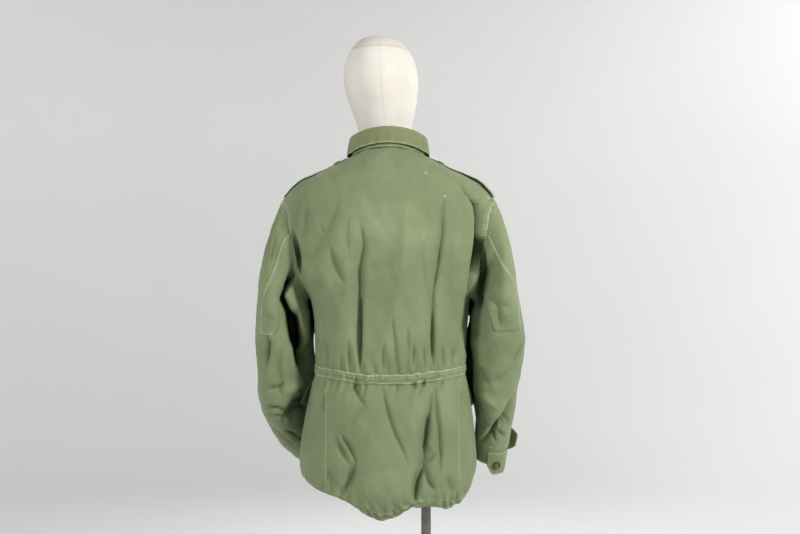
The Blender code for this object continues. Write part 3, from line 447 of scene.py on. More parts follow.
# Creases and ridges as runs through spots in x and z: a trough has a negative height. The widths are to the
# left and right of the run as seen from behind, and the power shapes its sides: 1.2 is sharp, 2 soft.
BACK_CREASES = [
    # height, width left, width right, power, then its spots in x and z from end to end
    (-0.015, 0.014, 0.0045, 1.2, (0.0567, 1.3373), (0.0474, 1.2967), (0.0555, 1.2439), (0.0567, 1.1790),
     (0.0575, 1.1221), (0.0575, 1.0429)),
    (-0.012, 0.006, 0.003, 1.2, (0.0567, 1.1871), (0.0575, 1.1221), (0.0575, 1.0409)),
    (0.01, 0.02, 0.055, 1.4, (-0.0338, 1.3820), (-0.0338, 1.3414), (-0.0318, 1.2926), (-0.0237, 1.2277),
     (-0.0115, 1.1627), (0.0088, 1.0978), (0.0392, 1.0470)),
    (-0.012, 0.012, 0.004, 1.2, (-0.1122, 1.3901), (-0.1110, 1.3170), (-0.1029, 1.2520),
     (-0.0947, 1.1952), (-0.0927, 1.1383), (-0.0927, 1.0450)),
    (-0.009, 0.005, 0.003, 1.2, (-0.0935, 1.1546), (-0.0927, 1.0978), (-0.0927, 1.0429)),
    (-0.007, 0.04, 0.014, 1.4, (-0.1252, 1.3089), (-0.1244, 1.2602), (-0.1260, 1.2114),
     (-0.1353, 1.1668), (-0.1516, 1.1099)),
    (-0.005, 0.016, 0.012, 1.6, (0.1001, 1.3941), (0.1204, 1.3414), (0.1428, 1.2967), (0.1590, 1.2602)),
    (-0.0045, 0.004, 0.003, 1.2, (0.1448, 1.3393), (0.1338, 1.3211)),
    (-0.009, 0.012, 0.0035, 1.2, (0.1184, 1.2886), (0.1062, 1.2561), (0.0888, 1.2175)),
    (0.006, 0.02, 0.03, 1.4, (0.0839, 1.2277), (0.0900, 1.1708), (0.1001, 1.1221), (0.1123, 1.0693)),
    (-0.005, 0.01, 0.01, 1.4, (0.1448, 1.2399), (0.1428, 1.2114), (0.1631, 1.1810)),
    (0.004, 0.016, 0.02, 1.5, (0.1265, 1.2277), (0.1225, 1.1627), (0.1204, 1.1018)),
    (-0.0053, 0.02, 0.006, 1.3, (-0.0643, 1.2845), (-0.0744, 1.2277), (-0.0846, 1.1790),
     (-0.0927, 1.1505)),
    (-0.006, 0.006, 0.003, 1.2, (-0.0066, 1.1505), (-0.0136, 1.0978), (-0.0156, 1.0470)),
    (-0.006, 0.006, 0.003, 1.2, (-0.0379, 1.1302), (-0.0408, 1.0815), (-0.0399, 1.0450)),
    (-0.006, 0.006, 0.003, 1.2, (0.0080, 1.0978), (0.0120, 1.0409)),
    (-0.006, 0.006, 0.003, 1.2, (-0.0521, 1.0978), (-0.0501, 1.0429)),
    (-0.006, 0.006, 0.003, 1.2, (-0.0724, 1.0876), (-0.0757, 1.0409)),
    (-0.006, 0.006, 0.003, 1.2, (-0.1122, 1.0856), (-0.1138, 1.0429)),
    (-0.006, 0.006, 0.003, 1.2, (-0.1341, 1.0815), (-0.1362, 1.0450)),
    (-0.006, 0.006, 0.003, 1.2, (0.0810, 1.0978), (0.0786, 1.0450)),
    (-0.006, 0.006, 0.003, 1.2, (0.1346, 1.1059), (0.1257, 1.0511)),
    (-0.005, 0.01, 0.008, 1.5, (0.1679, 1.3738), (0.1691, 1.3414), (0.1793, 1.3048)),
    (-0.002, 0.03, 0.03, 2, (0.0047, 1.4144), (-0.0034, 1.3657)),
    (-0.003, 0.01, 0.004, 1.3, (0.0798, 1.3576), (0.0859, 1.3089), (0.0798, 1.2764)),
    (-0.009, 0.006, 0.0035, 1.2, (0.0137, 1.0186), (0.0068, 0.9820), (-0.0014, 0.9496),
     (-0.0156, 0.9090), (-0.0278, 0.8846), (-0.0391, 0.8521)),
    (-0.014, 0.012, 0.008, 1.3, (-0.0935, 1.0125), (-0.0887, 0.9699), (-0.0826, 0.9211),
     (-0.0765, 0.8887), (-0.0724, 0.8481), (-0.0651, 0.8237), (-0.0574, 0.7912), (-0.0513, 0.7669)),
    (-0.012, 0.006, 0.004, 1.2, (-0.0838, 0.9577), (-0.0805, 0.9090), (-0.0744, 0.8765)),
    (-0.015, 0.008, 0.005, 1.3, (-0.0724, 0.8399), (-0.0623, 0.8196), (-0.0562, 0.7709)),
    (-0.012, 0.008, 0.0035, 1.2, (-0.0980, 1.0105), (-0.1017, 0.9536), (-0.1073, 0.9171),
     (-0.1086, 0.8684), (-0.1057, 0.8278)),
    (-0.012, 0.008, 0.0045, 1.2, (-0.0744, 0.8481), (-0.0838, 0.8156), (-0.0988, 0.7912)),
    (-0.0075, 0.005, 0.004, 1.2, (-0.0960, 0.8724), (-0.0854, 0.8562), (-0.0724, 0.8420)),
    (0.006, 0.005, 0.004, 1.3, (-0.0785, 0.9049), (-0.0927, 0.8765), (-0.0805, 0.8521)),
    (-0.009, 0.005, 0.0035, 1.2, (-0.0554, 0.8359), (-0.0521, 0.8156), (-0.0513, 0.7872)),
    (-0.012, 0.006, 0.004, 1.2, (0.0949, 0.9069), (0.0810, 0.8866), (0.0644, 0.8542)),
    (-0.0075, 0.005, 0.004, 1.2, (0.1013, 0.8948), (0.0900, 0.8704), (0.0778, 0.8521)),
    (0.006, 0.004, 0.004, 1.4, (0.1062, 0.9110), (0.0859, 0.8826), (0.0648, 0.8481)),
    (-0.015, 0.016, 0.004, 1.3, (0.0644, 0.8562), (0.0664, 0.8399), (0.0770, 0.8115), (0.0981, 0.7811)),
    (0.007, 0.02, 0.05, 1.4, (0.0340, 0.9171), (0.0404, 0.8684), (0.0445, 0.8237), (0.0453, 0.7669)),
    (-0.0075, 0.008, 0.004, 1.2, (0.0717, 1.0105), (0.0583, 0.9841), (0.0453, 0.9699)),
    (-0.006, 0.005, 0.005, 1.2, (0.0474, 0.9678), (0.0616, 0.9536), (0.0798, 0.9272)),
    (-0.009, 0.004, 0.004, 1.3, (0.1322, 0.9922), (0.1371, 0.9678), (0.1338, 0.9475)),
    (-0.012, 0.006, 0.004, 1.2, (0.0624, 1.0267), (0.0632, 1.0105), (0.0607, 0.9902)),
    (-0.0075, 0.005, 0.003, 1.2, (-0.0521, 1.0166), (-0.0562, 0.9983)),
    (-0.0075, 0.005, 0.003, 1.2, (-0.0724, 1.0226), (-0.0757, 1.0023)),
    (-0.0075, 0.005, 0.003, 1.2, (-0.0156, 1.0145), (-0.0176, 0.9983)),
    (-0.006, 0.012, 0.006, 1.4, (-0.1536, 1.0064), (-0.1577, 0.9658), (-0.1556, 0.9171)),
    (0.004, 0.03, 0.02, 1.6, (-0.0399, 0.9455), (-0.0562, 0.8968), (-0.0724, 0.8602)),
    (0.004, 0.05, 0.05, 2, (0.0047, 0.8399), (-0.0034, 0.7750)),
    (-0.004, 0.02, 0.012, 1.6, (0.1631, 0.9861), (0.1712, 0.9293), (0.1691, 0.8765)),
    (-0.006, 0.01, 0.006, 1.4, (-0.1211, 0.8237), (-0.1333, 0.7831)),
    (-0.006, 0.01, 0.006, 1.4, (0.1225, 0.8399), (0.1103, 0.7993)),
]
# Gathers at the sewn lines: the line's level and its height above that, up or down, reach, seed, depth
# and spacing.
BACK_GATHERS = [
    (CHANNEL_HIGH, 0.0, 1, 0.080, 11, 0.0037, 0.0105),
    (CHANNEL_LOW, 0.0, -1, 0.065, 12, 0.0047, 0.0100),
    (HEM, 0.016, 1, 0.045, 13, 0.0040, 0.0100),
    (HEM, 0.015, -1, 0.030, 16, 0.0042, 0.0090),
]
# Painted shade: where the cloth lies deep in a fold its colour is darkened to stand in for shade, in the same
# form as the creases; and small pale specks where it is rubbed.
BACK_PAINTED_SHADE = [
    (1, 0.008, 0.007, 7, (0.2016, 1.3333), (0.1915, 1.2926), (0.1874, 1.2683), (0.1874, 1.2480),
     (0.1955, 1.2136)),
]
BACK_SPECKS = ((-0.0724, 1.3150), (-0.1150, 1.3941), (-0.0765, 1.4428))
# Painted shade in the gaping pleat beside the right armhole.
PLEAT_PAINTED_SHADE = [
    (1, 0.010, 0.012, 6, (-0.1577, 1.3901), (-0.1719, 1.3576), (-0.1800, 1.3200), (-0.1841, 1.2900)),
    (1, 0.019, 0.019, 9, (-0.1820, 1.3480), (-0.1950, 1.3100), (-0.1990, 1.2700), (-0.1930, 1.2250)),
]
SPECK = 0.0025
# A crease as deep as this gets the full painted shade of a crease.
FULL_CREASE = 0.009
# How bright the cloth is where it is rubbed, beside its pale colour, and how dark the painted shade deep in a
# fold is, beside its deep one.
RUBBED, SHADED = 1.9, 0.11


def creases(x, z, table):
    """Heights of creases at points: each is a run of straight pieces; across it a peaked bell with its own
    width on either side, along it full in the middle and pointed at both ends."""
    height = np.zeros_like(x)
    for high, left, right, power, *spots in table:
        spots = np.array(spots)
        steps = np.diff(spots, axis=0)
        sizes = np.hypot(*steps.T)
        before = np.concatenate([[0], np.cumsum(sizes)])
        nearest, off, share = np.full_like(x, 9.0), np.zeros_like(x), np.zeros_like(x)
        for (x0, z0), (dx, dz), size, done in zip(spots, steps, sizes, before):
            t = np.clip(((x - x0) * dx + (z - z0) * dz) / size**2, 0, 1)
            away = np.hypot(x - x0 - t * dx, z - z0 - t * dz)
            closer = away < nearest
            to_left = ((x - x0) * dz - (z - z0) * dx) * np.sign(dz) > 0
            off = np.where(closer, away / np.where(to_left, left, right), off)
            share = np.where(closer, (done + t * size) / before[-1], share)
            nearest = np.where(closer, away, nearest)
        full = np.sin(math.pi * np.clip(share, 0.02, 0.98)) ** 0.6
        height += high * bell(off, 0.2 + 0.8 * full, power) * full
    return height


def gathers(run, z, line_z, reach, seed, up, deep, spacing):
    """Small folds that start at a sewn line and die away from it: their spots along the line, lengths
    and depths are drawn at random, and every second one is a ridge."""
    rng = np.random.default_rng(seed)
    spots = np.cumsum(rng.uniform(0.55, 1.5, 160)) * spacing
    height = np.zeros_like(run)
    for i, spot in enumerate(spots[spots < run.max() + 0.02]):
        length, depth = reach * rng.uniform(0.35, 1.0), deep * rng.uniform(0.35, 1.0)
        wide, lean = spacing * rng.uniform(0.22, 0.42), rng.uniform(-0.12, 0.12)
        away = (z - line_z) * up
        off = run - spot - lean * away
        grow = 1 + 1.3 * np.clip(away / length, 0, 1)
        fade = smooth(away, -0.004, 0.002) * (1 - smooth(away, 0.15 * length, length))
        height += (1 if i % 2 else -1) * depth * bell(off, wide * grow, 1.5) * fade
    return height


def height_of(theta, level):
    """Heights of the body's ring of one level, at angles."""
    return torso(theta, level + 0 * theta)[..., 2]


def gathered(lengths, theta, z, table, draw=0):
    """The gathers of all the sewn lines in a table, added up; another draw gives another panel its own."""
    return sum(
        gathers(lengths, z, height_of(theta, level) + raised, reach, seed + draw, up, deep, spacing)
        for level, raised, up, reach, seed, deep, spacing in table
    )


def ripple(points, seed, high=0.0006, size=0.06):
    """Slight unevenness of washed cloth: ten long waves in random directions, added up."""
    rng = np.random.default_rng(seed)
    waves = rng.normal(0, 1, (10, 3)) * [1.2, 1.2, 0.8] * 2 * math.pi / size / 2
    phase = rng.uniform(0, 2 * math.pi, 10)
    return high * np.sin(points @ waves.T + phase).sum(-1) / 3


def even_levels(low, high):
    """Levels whose rings are one row step apart, measured between the side and the back."""
    scan = np.linspace(low, high, 400)
    run = runs(torso(np.full(400, 0.8), scan)[:, None], 0)[:, 0]
    return np.interp(np.linspace(0, run[-1], 1 + round(run[-1] / ROW_STEP)), run, scan)


def seam_angle(level, reach):
    """Angle from the side line to a panel's edge: the armhole's half-ellipse, or half a seam."""
    low = SEAM / 2 / spline(TORSO, level)[..., 3]
    k = (np.asarray(level, float) - ARMHOLE_MIDDLE) / ARMHOLE_HALF
    return np.maximum(low, reach * np.sqrt(np.clip(1 - k * k, 0, 1)))


def ring_runs(levels, start, end):
    """A fine scale round each ring: many angles, and the length of the ring up to each of them."""
    theta = np.linspace(start, end, RING_ANGLES)
    return theta, runs(torso(theta[None], levels[:, None]), 1)


def squeezed(lengths, edge, reach):
    """Lengths from a side line, pressed together near it so that the first falls on the panel's edge."""
    return np.where(lengths < reach, edge + lengths * (reach - edge) / reach, lengths)


def rows_between(low, high, count):
    """For each row, evenly spaced lengths from its low to its high."""
    return low[:, None] + (high - low)[:, None] * np.linspace(0, 1, count)[None]


def calm(lengths, edge):
    """0 at a panel's sewn edge and 1 from 35 mm inside it, because folds die out there."""
    return smooth(lengths, edge[:, None] - 0.002, edge[:, None] + 0.035)


def pleat_course(levels, fine, run):
    """How far round each ring the pleat lies, and how far it is open, both blurred along the levels."""
    spots, blur = np.array(PLEAT), bell(np.linspace(-2, 2, 17), 1)
    read = [np.interp(levels, spots[:, 0], spots[:, k]) for k in (1, 2)]
    x, opened = (np.convolve(np.pad(line, 8, "edge"), blur / blur.sum(), "valid") for line in read)
    half = RING_ANGLES // 2
    ring_x = torso(fine[None, half:], levels[:, None])[..., 0]
    at = np.array([np.interp(-a, -r, s[half:]) for a, r, s in zip(x, ring_x, run)])
    return at, smooth(opened, 0, 1)


def back_marks(x, z, hem, rim, pleat, inside, painted_crease_shade):
    """Pale wear at the hem's edge and stitching, at the seams and in specks; and the depth mark, which
    paints shade into the open pleat, into the deep folds, and a little into every crease."""
    specks = sum(bell(np.hypot(x - a, z - b), SPECK) for a, b in BACK_SPECKS)
    seams = 0.6 * bell(z - hem, 0.0035) + 0.35 * bell(z - hem - HEM_STITCH, 0.0022) + 0.6 * bell(rim, 0.004)
    # Painted shade: the open pleat, the deep folds and a little of every crease.
    depth = smooth(-pleat, 0.010, 0.030) + inside + creases(x, z, BACK_PAINTED_SHADE) + 0.14 * painted_crease_shade
    return {"wear": seams + specks, "depth": np.clip(depth, 0, 1)}


def back_grid(levels, plain=182, folded=45, beyond=14):
    """The back: even columns from the left edge to the pleat, the pleat's own S-shaped columns, then to
    the right edge. Heights of folds, gathers and ripples are added along the normals; the pleat's table
    slides its columns round the body and sinks them, as far as it is open."""
    low = seam_angle(levels, ARMHOLE_BACK)
    fine, run = ring_runs(levels, 0, math.pi)
    edge, total = (
        np.array([np.interp(a, fine, s) for a, s in zip(ends, run)]) for ends in (low, math.pi - low)
    )
    at, opened = pleat_course(levels, fine, run)
    flat, along, out = spline(PLEAT_FOLD, np.linspace(0, len(PLEAT_FOLD) - 1, folded)).T / 1000
    plainly = squeezed(rows_between(0 * at, at + flat[0], plain), edge[:, None], BACK_REACH)
    outer = rows_between(at + flat[-1], total, beyond + 1)[:, 1:]
    lengths = np.concatenate([plainly[:, :-1], at[:, None] + flat[None], outer], 1)
    theta = np.array([np.interp(a, s, fine) for a, s in zip(lengths, run)])
    points, round_, normal = torso_frame(theta, levels[:, None] + 0 * theta)
    x, z = points[..., 0], points[..., 2]
    crease = creases(x, z, BACK_CREASES)
    high = crease + gathered(lengths, theta, z, BACK_GATHERS)
    high += ripple(points, 14, 0.0007) + ripple(points, 19, 0.0004, 0.022)
    high *= calm(lengths, edge) * calm(-lengths, -total)
    tail = np.linspace(1, 0, beyond + 1)[1:]
    slide = np.concatenate([np.zeros(plain - 1), along - flat, (along[-1] - flat[-1]) * tail])
    slide = slide[None] * opened[:, None]
    pleat = np.concatenate([np.zeros(plain - 1), out, out[-1] * tail**1.5])[None] * opened[:, None]
    # Painted shade darkens the cloth beside the pleat, but not the strip of it that is sewn to the upper
    # armhole.
    sewn_strip = smooth(levels, 12.4, 12.9)[:, None] * smooth(lengths - total[:, None], -0.014, -0.009)
    inside = creases(x, z, PLEAT_PAINTED_SHADE) * smooth(lengths - at[:, None], -0.001, 0.003) * (1 - sewn_strip)
    rim = np.minimum(lengths - edge[:, None], total[:, None] - lengths)
    # How deep each crease is, as a share of the painted shade it gets.
    painted_crease_shade = np.clip(-crease / FULL_CREASE, 0, 1)
    marks = back_marks(x, z, height_of(theta, HEM), rim, pleat, inside, painted_crease_shade)
    return points + round_ * slide[..., None] + normal * (high + pleat)[..., None], marks


def sateen_finish(name, deep, middle, pale):
    """Washed cotton sateen: patchy fading, fine mottling from the yarns, pale abraded edges and seams,
    a close satin weave, small crumples, and a faint nap. The depth mark paints shade on it: dark, and without
    specular or sheen."""
    material, tree, shader = finish(name, {"Roughness": 0.82, "Sheen Roughness": 0.5})
    spot, cloth = places(tree), along_cloth(tree)
    fading = noise(tree, spot, 7.0, 5.0, {"Roughness": 0.62})
    colour = ramp(tree, fading, [(0.30, deep), (0.52, middle), (0.74, pale)])
    grain = noise(tree, spot, 260.0, 3.0, {"Roughness": 0.7})
    grain = ramp(tree, grain, [(0.3, (0.90, 0.90, 0.90, 1)), (0.7, WHITE)])
    colour = blend(tree, 1.0, colour, grain, "MULTIPLY")
    broken = between(tree, noise(tree, spot, 85.0, 4.0, {"Roughness": 0.7}), 0.0, 1.0, start=0.3, end=0.6)
    worn = add(tree, "Math", {0: mark(tree, "wear"), 1: broken}, operation="MULTIPLY").outputs["Value"]
    colour = blend(tree, worn, colour, tuple(c * RUBBED for c in pale[:3]) + (1,))
    # Painted shade: the depth mark darkens the colour towards a dark olive and takes away specular and sheen.
    depth = mark(tree, "depth")
    colour = blend(tree, depth, colour, tuple(c * SHADED for c in deep[:3]) + (1,))
    shine, nap = between(tree, depth, 0.5, 0.0), between(tree, depth, 0.12, 0.0)
    warp = yarns(tree, cloth, 523.0, "X", Distortion=0.4)
    twill = yarns(tree, cloth, 300.0, "DIAGONAL", Distortion=0.5, Detail=1.0)
    fine = relief(tree, blend(tree, 0.4, warp, twill), 0.22, 0.00015)
    crumple = noise(tree, spot, 75.0, 5.0, {"Roughness": 0.6})
    rough = relief(tree, crumple, 0.55, 0.0014, Normal=fine)
    drawn = add(tree, "Mapping", {"Vector": spot, "Scale": (1.0, 1.0, 0.28)}).outputs["Vector"]
    bent = {"Roughness": 0.45, "Distortion": 0.5}
    wrinkle = noise(tree, drawn, 30.0, 2.0, bent, noise_type="RIDGED_MULTIFRACTAL")
    bump = relief(tree, wrinkle, 0.55, 0.0024, Normal=rough)
    join(tree, shader, {"Base Color": colour, "Normal": bump})
    join(tree, shader, {"Specular IOR Level": shine, "Sheen Weight": nap})
    return material


OLIVE_DEEP, OLIVE, OLIVE_PALE = (0.150, 0.190, 0.090, 1), (0.187, 0.232, 0.113, 1), (0.230, 0.280, 0.145, 1)
olive = sateen_finish("olive_sateen_cloth", OLIVE_DEEP, OLIVE, OLIVE_PALE)


def cloth_piece(name, grid, marks, node=None, cloth=olive, wall=WALL, **form):
    """A piece of the jacket's cloth, in the place of a CAD node that has its name if no other is given."""
    settle(shell(f"{name}_cloth", grid, cloth, wall, marks=marks, **form), "olive_sateen", node or name)


levels = np.concatenate(
    [
        even_levels(HEM, ARMHOLE_LOW)[:-1],
        ARMHOLE_MIDDLE - ARMHOLE_HALF * np.cos(np.linspace(0, math.pi, ARMHOLE_ROWS)),
        even_levels(ARMHOLE_HIGH, NECK_LEVEL)[1:],
    ]
)
back, back_looks = back_grid(levels)
cloth_piece("back", back, back_looks)

# ---------------------------------------------------------------------------------------------------
# Fronts. Two panels of the same cloth, sewn to the back at the sides and on the shoulders, meeting
# under the storm flap. They hang in the same long folds, gathered at the waist.
# ---------------------------------------------------------------------------------------------------
FRONT_REACH = 0.12
FRONT_COLUMNS = 97
FRONT_GATHERS = [
    (CHANNEL_HIGH, 0.0, 1, 0.070, 21, 0.0042, 0.0140),
    (CHANNEL_LOW, 0.0, -1, 0.060, 24, 0.0044, 0.0130),
    (HEM, 0.015, 1, 0.035, 27, 0.0024, 0.0100),
    (HEM, 0.015, -1, 0.030, 34, 0.0038, 0.0090),
]
DRAPE_DEEP, DRAPE_SPACING = 0.0042, 0.034
FRONT_FULLNESS = 1.5
FRONT_FOLDS = [
    # x0, z0, x1, z1, height, width left, width right, power
    (0.070, 1.045, 0.080, 1.210, -0.0080, 0.017, 0.014, 1.8),
    (0.074, 1.045, 0.078, 1.140, -0.0030, 0.005, 0.006, 1.3),
    (0.120, 1.050, 0.132, 1.180, -0.0050, 0.018, 0.018, 2.0),
    (0.098, 1.050, 0.104, 1.150, 0.0030, 0.012, 0.012, 2.0),
    (0.100, 1.320, 0.070, 1.230, -0.0040, 0.024, 0.024, 2.0),
    (0.150, 1.290, 0.115, 1.230, -0.0035, 0.010, 0.014, 1.6),
    (0.060, 1.390, 0.085, 1.330, 0.0025, 0.020, 0.020, 2.0),
    (-0.066, 1.045, -0.074, 1.230, -0.0090, 0.018, 0.014, 1.8),
    (-0.070, 1.045, -0.070, 1.130, -0.0030, 0.006, 0.005, 1.3),
    (-0.118, 1.050, -0.126, 1.200, 0.0040, 0.020, 0.020, 2.0),
    (-0.092, 1.050, -0.098, 1.160, -0.0030, 0.010, 0.010, 1.6),
    (-0.110, 1.330, -0.075, 1.215, -0.0050, 0.024, 0.020, 1.8),
    (-0.145, 1.270, -0.118, 1.225, -0.0035, 0.010, 0.012, 1.6),
    (0.062, 0.985, 0.056, 0.840, -0.0050, 0.018, 0.016, 1.8),
    (0.110, 0.900, 0.098, 0.785, -0.0090, 0.018, 0.016, 1.8),
    (0.084, 0.880, 0.078, 0.790, 0.0040, 0.014, 0.014, 2.0),
    (-0.058, 0.990, -0.050, 0.860, -0.0050, 0.018, 0.016, 1.8),
    (-0.098, 0.900, -0.084, 0.785, -0.0100, 0.018, 0.014, 1.8),
    (-0.072, 0.880, -0.064, 0.790, 0.0040, 0.014, 0.014, 2.0),
    (-0.140, 0.880, -0.132, 0.800, -0.0060, 0.016, 0.014, 1.8),
]


def folds(x, z, table):
    """Heights of the folds at points: each run is a bell across it, with its own width on either side
    and its own sharpness, that fades at both ends."""
    height = np.zeros_like(x)
    for x0, z0, x1, z1, high, left, right, power in table:
        run = math.hypot(x1 - x0, z1 - z0)
        along = ((x - x0) * (x1 - x0) + (z - z0) * (z1 - z0)) / run
        off = ((x - x0) * (z1 - z0) - (z - z0) * (x1 - x0)) / run * np.sign(z1 - z0)
        wide = np.where(off > 0, left, right)
        inside = smooth(np.minimum(along, run - along), -max(left, right), max(left, right))
        height += high * bell(off, wide, power) * inside
    return height


def drapes(run, z, line_z, reach, seed, up):
    """Long soft folds that fan out from a drawn-in line: each is steeper on one side than the other, and
    its spot, lean, width and depth are drawn at random."""
    rng = np.random.default_rng(seed)
    height = np.zeros_like(run)
    for spot in np.cumsum(rng.uniform(0.55, 1.45, 60)) * DRAPE_SPACING:
        if spot < run.max():
            away = (z - line_z) * up
            off = run - spot - rng.uniform(-0.14, 0.14) * away
            wide = DRAPE_SPACING * rng.uniform(0.22, 0.42) * (1 + np.clip(away / reach, 0, 1))
            steep = np.where(off > 0, rng.uniform(0.5, 1.0), rng.uniform(0.5, 1.0))
            length, depth = reach * rng.uniform(0.4, 1.0), DRAPE_DEEP * rng.uniform(0.3, 1.0)
            fade = smooth(away, 0.0, 0.03) * (1 - smooth(away, 0.3 * length, length))
            height += depth * bell(off, wide * steep, 1.4) * fade * rng.choice([-1, -1, 1])
    return height


def front_grid(levels, side):
    """One front: the right from its side edge to the centre, the left from the centre on, on the smooth
    body, with folds and gathers that die out at the edges and under the storm flap."""
    low = seam_angle(levels, ARMHOLE_FRONT)
    sideways, middle = (0, -math.pi / 2) if side > 0 else (math.pi, 1.5 * math.pi)
    fine, run = ring_runs(levels, sideways, middle)
    total = run[:, -1] - SEAM / 2
    share = low / (math.pi / 2) * (RING_ANGLES - 1)
    edge = np.array([np.interp(k, np.arange(RING_ANGLES), s) for k, s in zip(share, run)])
    lengths = squeezed(rows_between(0 * total, total, FRONT_COLUMNS), edge[:, None], FRONT_REACH)
    theta = np.array([np.interp(a, s, fine) for a, s in zip(lengths, run)])
    points, _, normal = torso_frame(theta, levels[:, None] + 0 * theta)
    x, z = points[..., 0], points[..., 2]
    high = FRONT_FULLNESS * folds(x, z, FRONT_FOLDS)
    high += gathered(lengths, theta, z, FRONT_GATHERS, side)
    high += drapes(lengths, z, height_of(theta, CHANNEL_HIGH), 0.22, 36 + side, 1)
    high += drapes(lengths, z, height_of(theta, CHANNEL_LOW), 0.20, 38 + side, -1)
    high += ripple(points, 30 + side, 0.0011) + ripple(points, 33 + side, 0.0006, 0.022)
    high *= calm(lengths, edge) * smooth(np.abs(x), 0.040, 0.064)
    grid = points + normal * high[..., None]
    wear = 0.5 * bell(grid[..., 2] - height_of(theta, HEM), 0.0035)
    wear += 0.3 * bell(lengths - edge[:, None], 0.004)
    return grid[:, ::-side], wear[:, ::-side]


fronts = {}
for word, side in (("left", 1), ("right", -1)):
    fronts[word], wear = front_grid(levels, side)
    cloth_piece(f"front_{word}", fronts[word], {"wear": wear})

# ---------------------------------------------------------------------------------------------------
# Sleeves. Two tubes of the same cloth, set into the armholes and hanging empty beside the body. The
# left one bends forwards at the elbow and falls into one deep dark fold behind the arm.
# ---------------------------------------------------------------------------------------------------
# How far out from the body, and past the armhole's edge, a sleeve begins: negative where it is tucked in.
ARMHOLE_LAP, ARMHOLE_TURN = -0.0009, -0.0006
ARMHOLE_WIDE, ARMHOLE_TALL = 0.068, 0.12
# The eye's place, which settles where light shows between the sleeves and the body.
EYE_X, EYE_Y, EYE_Z = -0.0237, 2.2, 1.25
# Soft gathers run down each arm from this height.
ARM_GATHERS_Z = 1.16
ARM_LEFT = [
    # x, y, z of the arm's centre line, then half its width and half its depth
    (0.2265, 0.004, 1.150, 0.0555, 0.078),
    (0.2285, 0.002, 1.100, 0.0565, 0.073),
    (0.2310, -0.004, 1.040, 0.0505, 0.070),
    (0.2370, -0.022, 0.980, 0.0430, 0.067),
    (0.2280, -0.063, 0.925, 0.0395, 0.059),
    (0.2080, -0.106, 0.881, 0.0375, 0.052),
    (0.1840, -0.142, 0.850, 0.0365, 0.048),
    (0.1600, -0.170, 0.826, 0.0360, 0.046),
]
ARM_RIGHT = [
    # the same
    (-0.2285, 0.004, 1.150, 0.053, 0.078),
    (-0.2320, 0.002, 1.100, 0.0565, 0.073),
    (-0.2330, -0.004, 1.040, 0.052, 0.067),
    (-0.2290, -0.012, 0.985, 0.047, 0.062),
    (-0.2285, -0.021, 0.935, 0.041, 0.056),
    (-0.2255, -0.029, 0.895, 0.0365, 0.050),
    (-0.2225, -0.036, 0.862, 0.0345, 0.046),
    (-0.2205, -0.041, 0.834, 0.0335, 0.044),
]
SLEEVE_COLUMNS, HEAD_ROWS, ARM_ROWS = 192, 66, 112
LEFT_BACK_FOLDS = [
    # x0, z0, x1, z1, height, width left, width right, power; the first six are one deep valley
    (0.1957, 1.3100, 0.1916, 1.2560, -0.026, 0.006, 0.006, 2.5),
    (0.1916, 1.2600, 0.2240, 1.1880, -0.044, 0.008, 0.007, 3.0),
    (0.2240, 1.1900, 0.2035, 1.1450, -0.044, 0.009, 0.009, 3.5),
    (0.2035, 1.1500, 0.1935, 1.0950, -0.058, 0.015, 0.015, 5.0),
    (0.1930, 1.1000, 0.1800, 1.0400, -0.048, 0.013, 0.013, 4.0),
    (0.1790, 1.0450, 0.1840, 0.9850, -0.024, 0.007, 0.007, 2.5),
    (0.2550, 1.2450, 0.2430, 1.1500, 0.005, 0.014, 0.014, 2.0),
    (0.2190, 1.3350, 0.2290, 1.2600, -0.006, 0.007, 0.008, 1.8),
]
LEFT_CREASES = [
    # height, width left, width right, power, then its spots in x and z from end to end
    (-0.012, 0.006, 0.003, 1.3, (0.2637, 0.9616), (0.2438, 0.9532), (0.2166, 0.9476), (0.2020, 0.9532)),
    (-0.012, 0.006, 0.003, 1.3, (0.2584, 0.9386), (0.2250, 0.9355), (0.2062, 0.9407), (0.1811, 0.9580)),
    (-0.012, 0.01, 0.005, 1.4, (0.1874, 0.9762), (0.1978, 0.9595), (0.2062, 0.9407)),
    (-0.008, 0.005, 0.003, 1.3, (0.1999, 0.9407), (0.2062, 0.9281), (0.2131, 0.9177)),
    (-0.008, 0.004, 0.004, 1.2, (0.2564, 0.9950), (0.2375, 0.9971), (0.2229, 0.9998), (0.2187, 1.0096)),
    (-0.01, 0.005, 0.004, 1.3, (0.2549, 1.1141), (0.2480, 1.0912), (0.2522, 1.0724), (0.2549, 1.0306)),
    (-0.007, 0.004, 0.004, 1.2, (0.2313, 0.9998), (0.2250, 0.9888), (0.2208, 0.9762)),
    (0.007, 0.008, 0.005, 1.4, (0.2166, 0.9825), (0.1999, 0.9971), (0.1853, 1.0103), (0.1713, 1.0285)),
    (0.006, 0.01, 0.008, 1.6, (0.2522, 0.9469), (0.2313, 0.9407), (0.2104, 0.9449)),
    (-0.007, 0.006, 0.004, 1.3, (0.2250, 0.9010), (0.2062, 0.8884), (0.1916, 0.8696)),
    (0.005, 0.006, 0.006, 1.3, (0.1728, 1.0222), (0.1999, 0.9971), (0.2292, 0.9783)),
    (-0.006, 0.008, 0.004, 1.2, (0.2334, 1.3252), (0.2355, 1.2960), (0.2459, 1.2563)),
    (-0.005, 0.006, 0.004, 1.2, (0.2187, 1.3524), (0.2166, 1.3232)),
    (-0.005, 0.01, 0.006, 1.4, (0.2647, 0.9198), (0.2375, 0.8884), (0.2104, 0.8634)),
    (0.005, 0.01, 0.01, 1.5, (0.2522, 1.1810), (0.2438, 1.1434)),
    (-0.005, 0.01, 0.006, 1.4, (0.2208, 1.0870), (0.2271, 1.0347), (0.2187, 0.9888)),
    (0.005, 0.008, 0.01, 1.5, (0.2564, 1.0661), (0.2522, 1.0138)),
]
